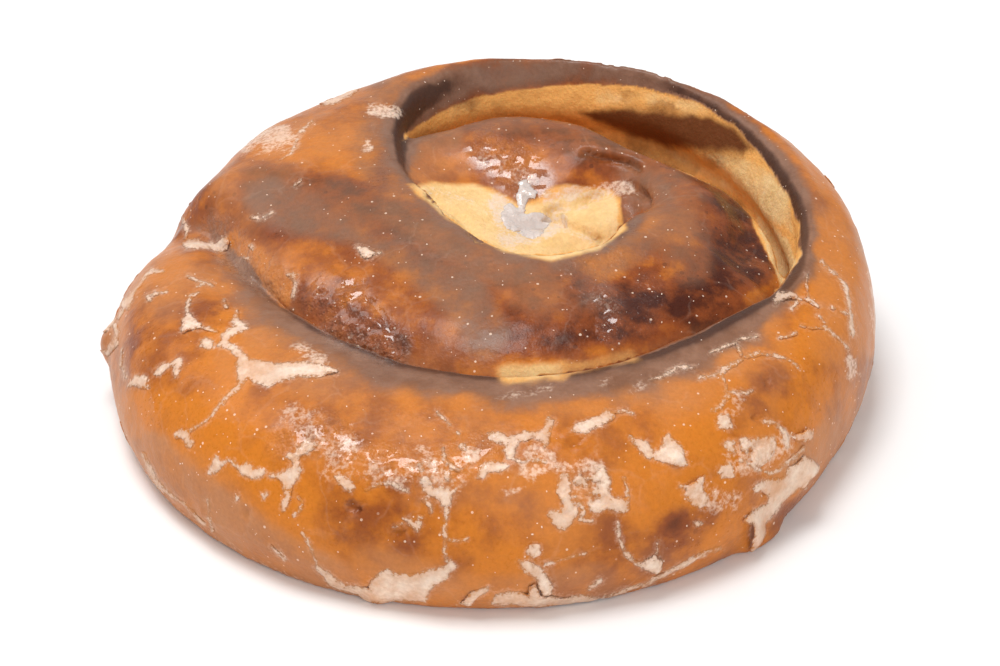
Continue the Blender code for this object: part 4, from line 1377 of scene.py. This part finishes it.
def glaze_finish(colours):
    """The finish of the loose specks of sugar."""
    finish, tree, shader, place = new_finish("cracked_sugar_glaze")
    made = groups()
    mottle = use_group(tree, made["grain"], Place=place, Scale=420.0, Detail=5.0, Low=0.3, High=0.7).outputs[0]
    fine = use_group(tree, made["grain"], Place=place, Scale=1400.0, Low=0.3, High=0.7).outputs[0]
    colour = blend_colour(tree, mottle, dimmed(colours.glaze, (0.9, 0.76, 0.66)), colours.glaze)
    tree.links.new(colour, shader.inputs["Base Color"])
    tree.links.new(scaled(tree, fine, 0.25, 0.32), shader.inputs["Roughness"])
    shader.inputs["Subsurface Weight"].default_value = 0.2
    shader.inputs["Subsurface Radius"].default_value = (1.0, 0.5, 0.3)
    shader.inputs["Subsurface Scale"].default_value = 1 * MM
    bump = put(tree, "ShaderNodeBump", Height=scaled(tree, fine, 0.4, mottle), Distance=0.12 * MM, Strength=0.6)
    tree.links.new(bump.outputs[0], shader.inputs["Normal"])
    return finish


def icing_finish(colours):
    finish, tree, shader, place = new_finish("wet_icing")
    made = groups()
    mottle = use_group(tree, made["grain"], Place=place, Scale=300.0, Low=0.3, High=0.7).outputs[0]
    shade = dimmed(colours.icing, (0.84, 0.84, 0.84))
    tree.links.new(blend_colour(tree, mottle, shade, colours.icing), shader.inputs["Base Color"])
    tree.links.new(scaled(tree, mottle, 0.12, 0.16), shader.inputs["Roughness"])
    shader.inputs["Coat Weight"].default_value = 1.0
    shader.inputs["Coat Roughness"].default_value = 0.06
    shader.inputs["Subsurface Weight"].default_value = 0.3
    shader.inputs["Subsurface Radius"].default_value = (1.0, 0.8, 0.7)
    shader.inputs["Subsurface Scale"].default_value = 1.2 * MM
    bump = put(tree, "ShaderNodeBump", Height=mottle, Distance=0.3 * MM, Strength=0.9)
    tree.links.new(bump.outputs[0], shader.inputs["Normal"])
    return finish


def floor_finish(colours):
    finish, tree, shader, place = new_finish("pale_floor")
    made = groups()
    mottle = use_group(tree, made["grain"], Place=place, Scale=12.0).outputs[0]
    shade = dimmed(colours.floor, (0.985, 0.985, 0.985))
    tree.links.new(blend_colour(tree, mottle, shade, colours.floor), shader.inputs["Base Color"])
    shader.inputs["Roughness"].default_value = 0.6
    return finish


# --- Operators -------------------------------------------------------------------------------------------------------


class CINNAMON_OT_stage(bpy.types.Operator):
    """Adds the floor, the soft lights and the camera"""

    bl_idname = "cinnamon.stage"
    bl_label = "Stage"

    def execute(self, context):
        scene = context.scene
        bpy.ops.object.select_all(action="DESELECT")
        bpy.ops.mesh.primitive_plane_add(size=6, location=(0, 0, 0))
        floor = context.active_object
        floor.name = floor.data.name = "floor"
        floor.data.materials.append(floor_finish(scene.cinnamon_roll_colours))

        world = bpy.data.worlds.new("soft_room")
        world.use_nodes = True
        world.node_tree.nodes["Background"].inputs["Color"].default_value = (1.0, 0.99, 0.98, 1)
        world.node_tree.nodes["Background"].inputs["Strength"].default_value = 0.5
        scene.world = world
        for name, place, size, watts in (
            ("overhead_light", (-0.18, 0.0, 1.0), 0.4, 6.4),
            ("left_light", (-0.62, 0.35, 0.75), 0.5, 1.7),
            ("front_light", (0.35, -0.95, 0.5), 0.8, 3.6),
        ):
            light = bpy.data.lights.new(name, "AREA")
            light.size = size
            light.energy = watts
            lamp = bpy.data.objects.new(name, light)
            lamp.location = place
            lamp.rotation_euler = Vector(place).to_track_quat("Z", "Y").to_euler()
            scene.collection.objects.link(lamp)

        place, back = camera_place()
        lens = bpy.data.cameras.new("camera")
        lens.sensor_width = SENSOR_WIDTH_MM
        lens.lens = FOCAL_PX * SENSOR_WIDTH_MM / PHOTO_WIDTH_PX
        lens.clip_start = 0.01
        camera = bpy.data.objects.new("camera", lens)
        camera.location = place
        camera.rotation_euler = back.to_track_quat("Z", "Y").to_euler()
        scene.collection.objects.link(camera)
        scene.camera = camera
        scene.view_settings.view_transform = "Standard"
        return {"FINISHED"}


class CINNAMON_OT_dough(bpy.types.Operator):
    """Models the dough: crust, edges, pit, hollow and underside"""

    bl_idname = "cinnamon.dough"
    bl_label = "Dough"

    def execute(self, context):
        dough = make_skin(context.scene.cinnamon_roll_sizes)
        dough.data.materials.clear()
        dough.data.materials.append(dough_finish(context.scene.cinnamon_roll_colours))
        select_only(dough)
        bpy.ops.object.shade_smooth()
        rides(dough)
        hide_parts("roll")
        return {"FINISHED"}


class CINNAMON_OT_glaze(bpy.types.Operator):
    """Models the white sugar glaze that stands on the crust in patches and veins, one vein being a painted highlight
    band
    """

    bl_idname = "cinnamon.glaze"
    bl_label = "Cracked glaze"

    def execute(self, context):
        sizes = context.scene.cinnamon_roll_sizes
        for name, depth_of in (("cracked_glaze", drawn_glaze), ("side_glaze", hidden_glaze)):
            (points, normals, layers, faces), depth = lifted_sheet(
                bpy.data.objects["dough"], (*LAYERS, "seen", "facing"), depth_of, GLAZE_MARGIN_MM, SHEET_SPLITS
            )
            height = GLAZE_SEAT + sizes.glaze_thickness * eased(depth / 0.35 + 0.15)
            height += 0.05 * MM * eased(depth / 0.3) * clouds(points, 1.2 * MM, 2, 20)
            curls = eased(1.6 * clouds(points, 7 * MM, 1, 21)) * eased(1 - depth / 0.5)
            height += 0.13 * MM * curls
            places = to_photo(points)
            for lift, reach, spot in CURLS_PX:
                share = eased(1 - np.linalg.norm(places - spot, axis=1) / reach) * (layers["seen"] > 0.5)
                height += lift * MM * share
            points = points + normals * height[:, None]
            points[:, 2] = np.maximum(points[:, 2], 0.02 * MM)
            kept = {layer: layers[layer] for layer in LAYERS}
            glaze = sheet_object(name, points, faces, {**kept, "glaze": depth})
            if name == "cracked_glaze":
                apply_modifier(glaze, "DECIMATE", ratio=FACES_KEPT)
            apply_modifier(glaze, "SOLIDIFY", thickness=GLAZE_SHEET, offset=-1)
            glaze.data.materials.append(bpy.data.materials["baked_dough"])
            select_only(glaze)
            bpy.ops.object.shade_smooth()
            rides(glaze)
        return {"FINISHED"}


class CINNAMON_OT_icing(bpy.types.Operator):
    """Models the icing pooled in the pit"""

    bl_idname = "cinnamon.icing"
    bl_label = "Icing"

    def execute(self, context):
        sizes = context.scene.cinnamon_roll_sizes

        def icing_depth(points, layers):
            places = frayed(points, to_photo(points))
            depth = np.full(len(points), -20.0)
            for outline in (ICING_POOL_PX, ICING_DRIP_PX):
                some = near(places, outline, 12)
                depth[some] = np.maximum(depth[some], outline_depth(places[some], outline))
            return np.where(layers["seen"] > 0.5, depth * PX_TO_MM, -5)

        (points, normals, _, faces), depth = lifted_sheet(
            bpy.data.objects["dough"], ("seen",), icing_depth, ICING_MARGIN_MM, SHEET_SPLITS
        )
        dome = np.sqrt(np.clip((depth + ICING_MARGIN_MM) / 1.2, 0.0, 1))
        points = points + normals * (sizes.icing_thickness * dome + 0.02 * MM)[:, None]
        icing = sheet_object("icing_pool", points, faces, {})
        apply_modifier(icing, "SMOOTH", factor=0.5, iterations=4)
        apply_modifier(icing, "SOLIDIFY", thickness=0.3 * MM, offset=-1)
        icing.data.materials.append(icing_finish(context.scene.cinnamon_roll_colours))
        select_only(icing)
        bpy.ops.object.shade_smooth()
        rides(icing)
        return {"FINISHED"}


class CINNAMON_OT_specks(bpy.types.Operator):
    """Scatters small specks of dried sugar over the crust"""

    bl_idname = "cinnamon.specks"
    bl_label = "Sugar specks"

    def execute(self, context):
        chance = random.Random(11)
        dough = bpy.data.objects["dough"]
        points, normals = read_points(dough.data)
        layer = np.empty(len(points), np.float32)
        dough.data.attributes["crumb"].data.foreach_get("value", layer)
        wanted = np.flatnonzero((normals[:, 2] > -0.2) & (points[:, 2] > 2 * MM) & (layer < 0.4))
        shape = bmesh.new()
        for _ in range(context.scene.cinnamon_roll_sizes.specks):
            k = int(chance.choice(wanted))
            size = chance.uniform(0.05, 0.13) * MM
            turn = Vector(normals[k]).to_track_quat("Z", "Y").to_matrix().to_4x4()
            spin = Matrix.Rotation(chance.uniform(0, math.tau), 4, "Z")
            grow = Matrix.Diagonal((size * chance.uniform(0.8, 1.8), size, 0.45 * size, 1))
            matrix = Matrix.Translation(Vector(points[k])) @ turn @ spin @ grow
            made = bmesh.ops.create_icosphere(shape, subdivisions=1, radius=1, matrix=matrix)
            for vert in made["verts"]:
                vert.co += Vector([chance.uniform(-0.2, 0.2) * size for _ in range(3)])
        mesh = bpy.data.meshes.new("sugar_specks")
        shape.to_mesh(mesh)
        shape.free()
        specks = bpy.data.objects.new("sugar_specks", mesh)
        context.scene.collection.objects.link(specks)
        specks.data.materials.append(glaze_finish(context.scene.cinnamon_roll_colours))
        rides(specks)
        return {"FINISHED"}


class CINNAMON_PT_panel(bpy.types.Panel):
    """Lists the steps that make the roll"""

    bl_idname = "CINNAMON_PT_panel"
    bl_label = "Cinnamon roll"
    bl_space_type = "VIEW_3D"
    bl_region_type = "UI"
    bl_category = "Cinnamon roll"

    def draw(self, context):
        layout = self.layout
        for group in (context.scene.cinnamon_roll_sizes, context.scene.cinnamon_roll_colours):
            box = layout.box()
            for name in group.__annotations__:
                box.prop(group, name)
        for step in STEPS:
            layout.operator(step.bl_idname)


STEPS = (
    CINNAMON_OT_stage,
    CINNAMON_OT_dough,
    CINNAMON_OT_glaze,
    CINNAMON_OT_icing,
    CINNAMON_OT_specks,
)
CLASSES = (CinnamonRollSizes, CinnamonRollColours, *STEPS, CINNAMON_PT_panel)


def register():
    for item in CLASSES:
        bpy.utils.register_class(item)
    bpy.types.Scene.cinnamon_roll_sizes = PointerProperty(type=CinnamonRollSizes)
    bpy.types.Scene.cinnamon_roll_colours = PointerProperty(type=CinnamonRollColours)


def unregister():
    del bpy.types.Scene.cinnamon_roll_sizes
    del bpy.types.Scene.cinnamon_roll_colours
    for item in reversed(CLASSES):
        bpy.utils.unregister_class(item)


def main():
    register()
    bpy.ops.cinnamon.stage()
    bpy.ops.cinnamon.dough()
    bpy.ops.cinnamon.glaze()
    bpy.ops.cinnamon.icing()
    bpy.ops.cinnamon.specks()


if __name__ == "__main__":
    main()
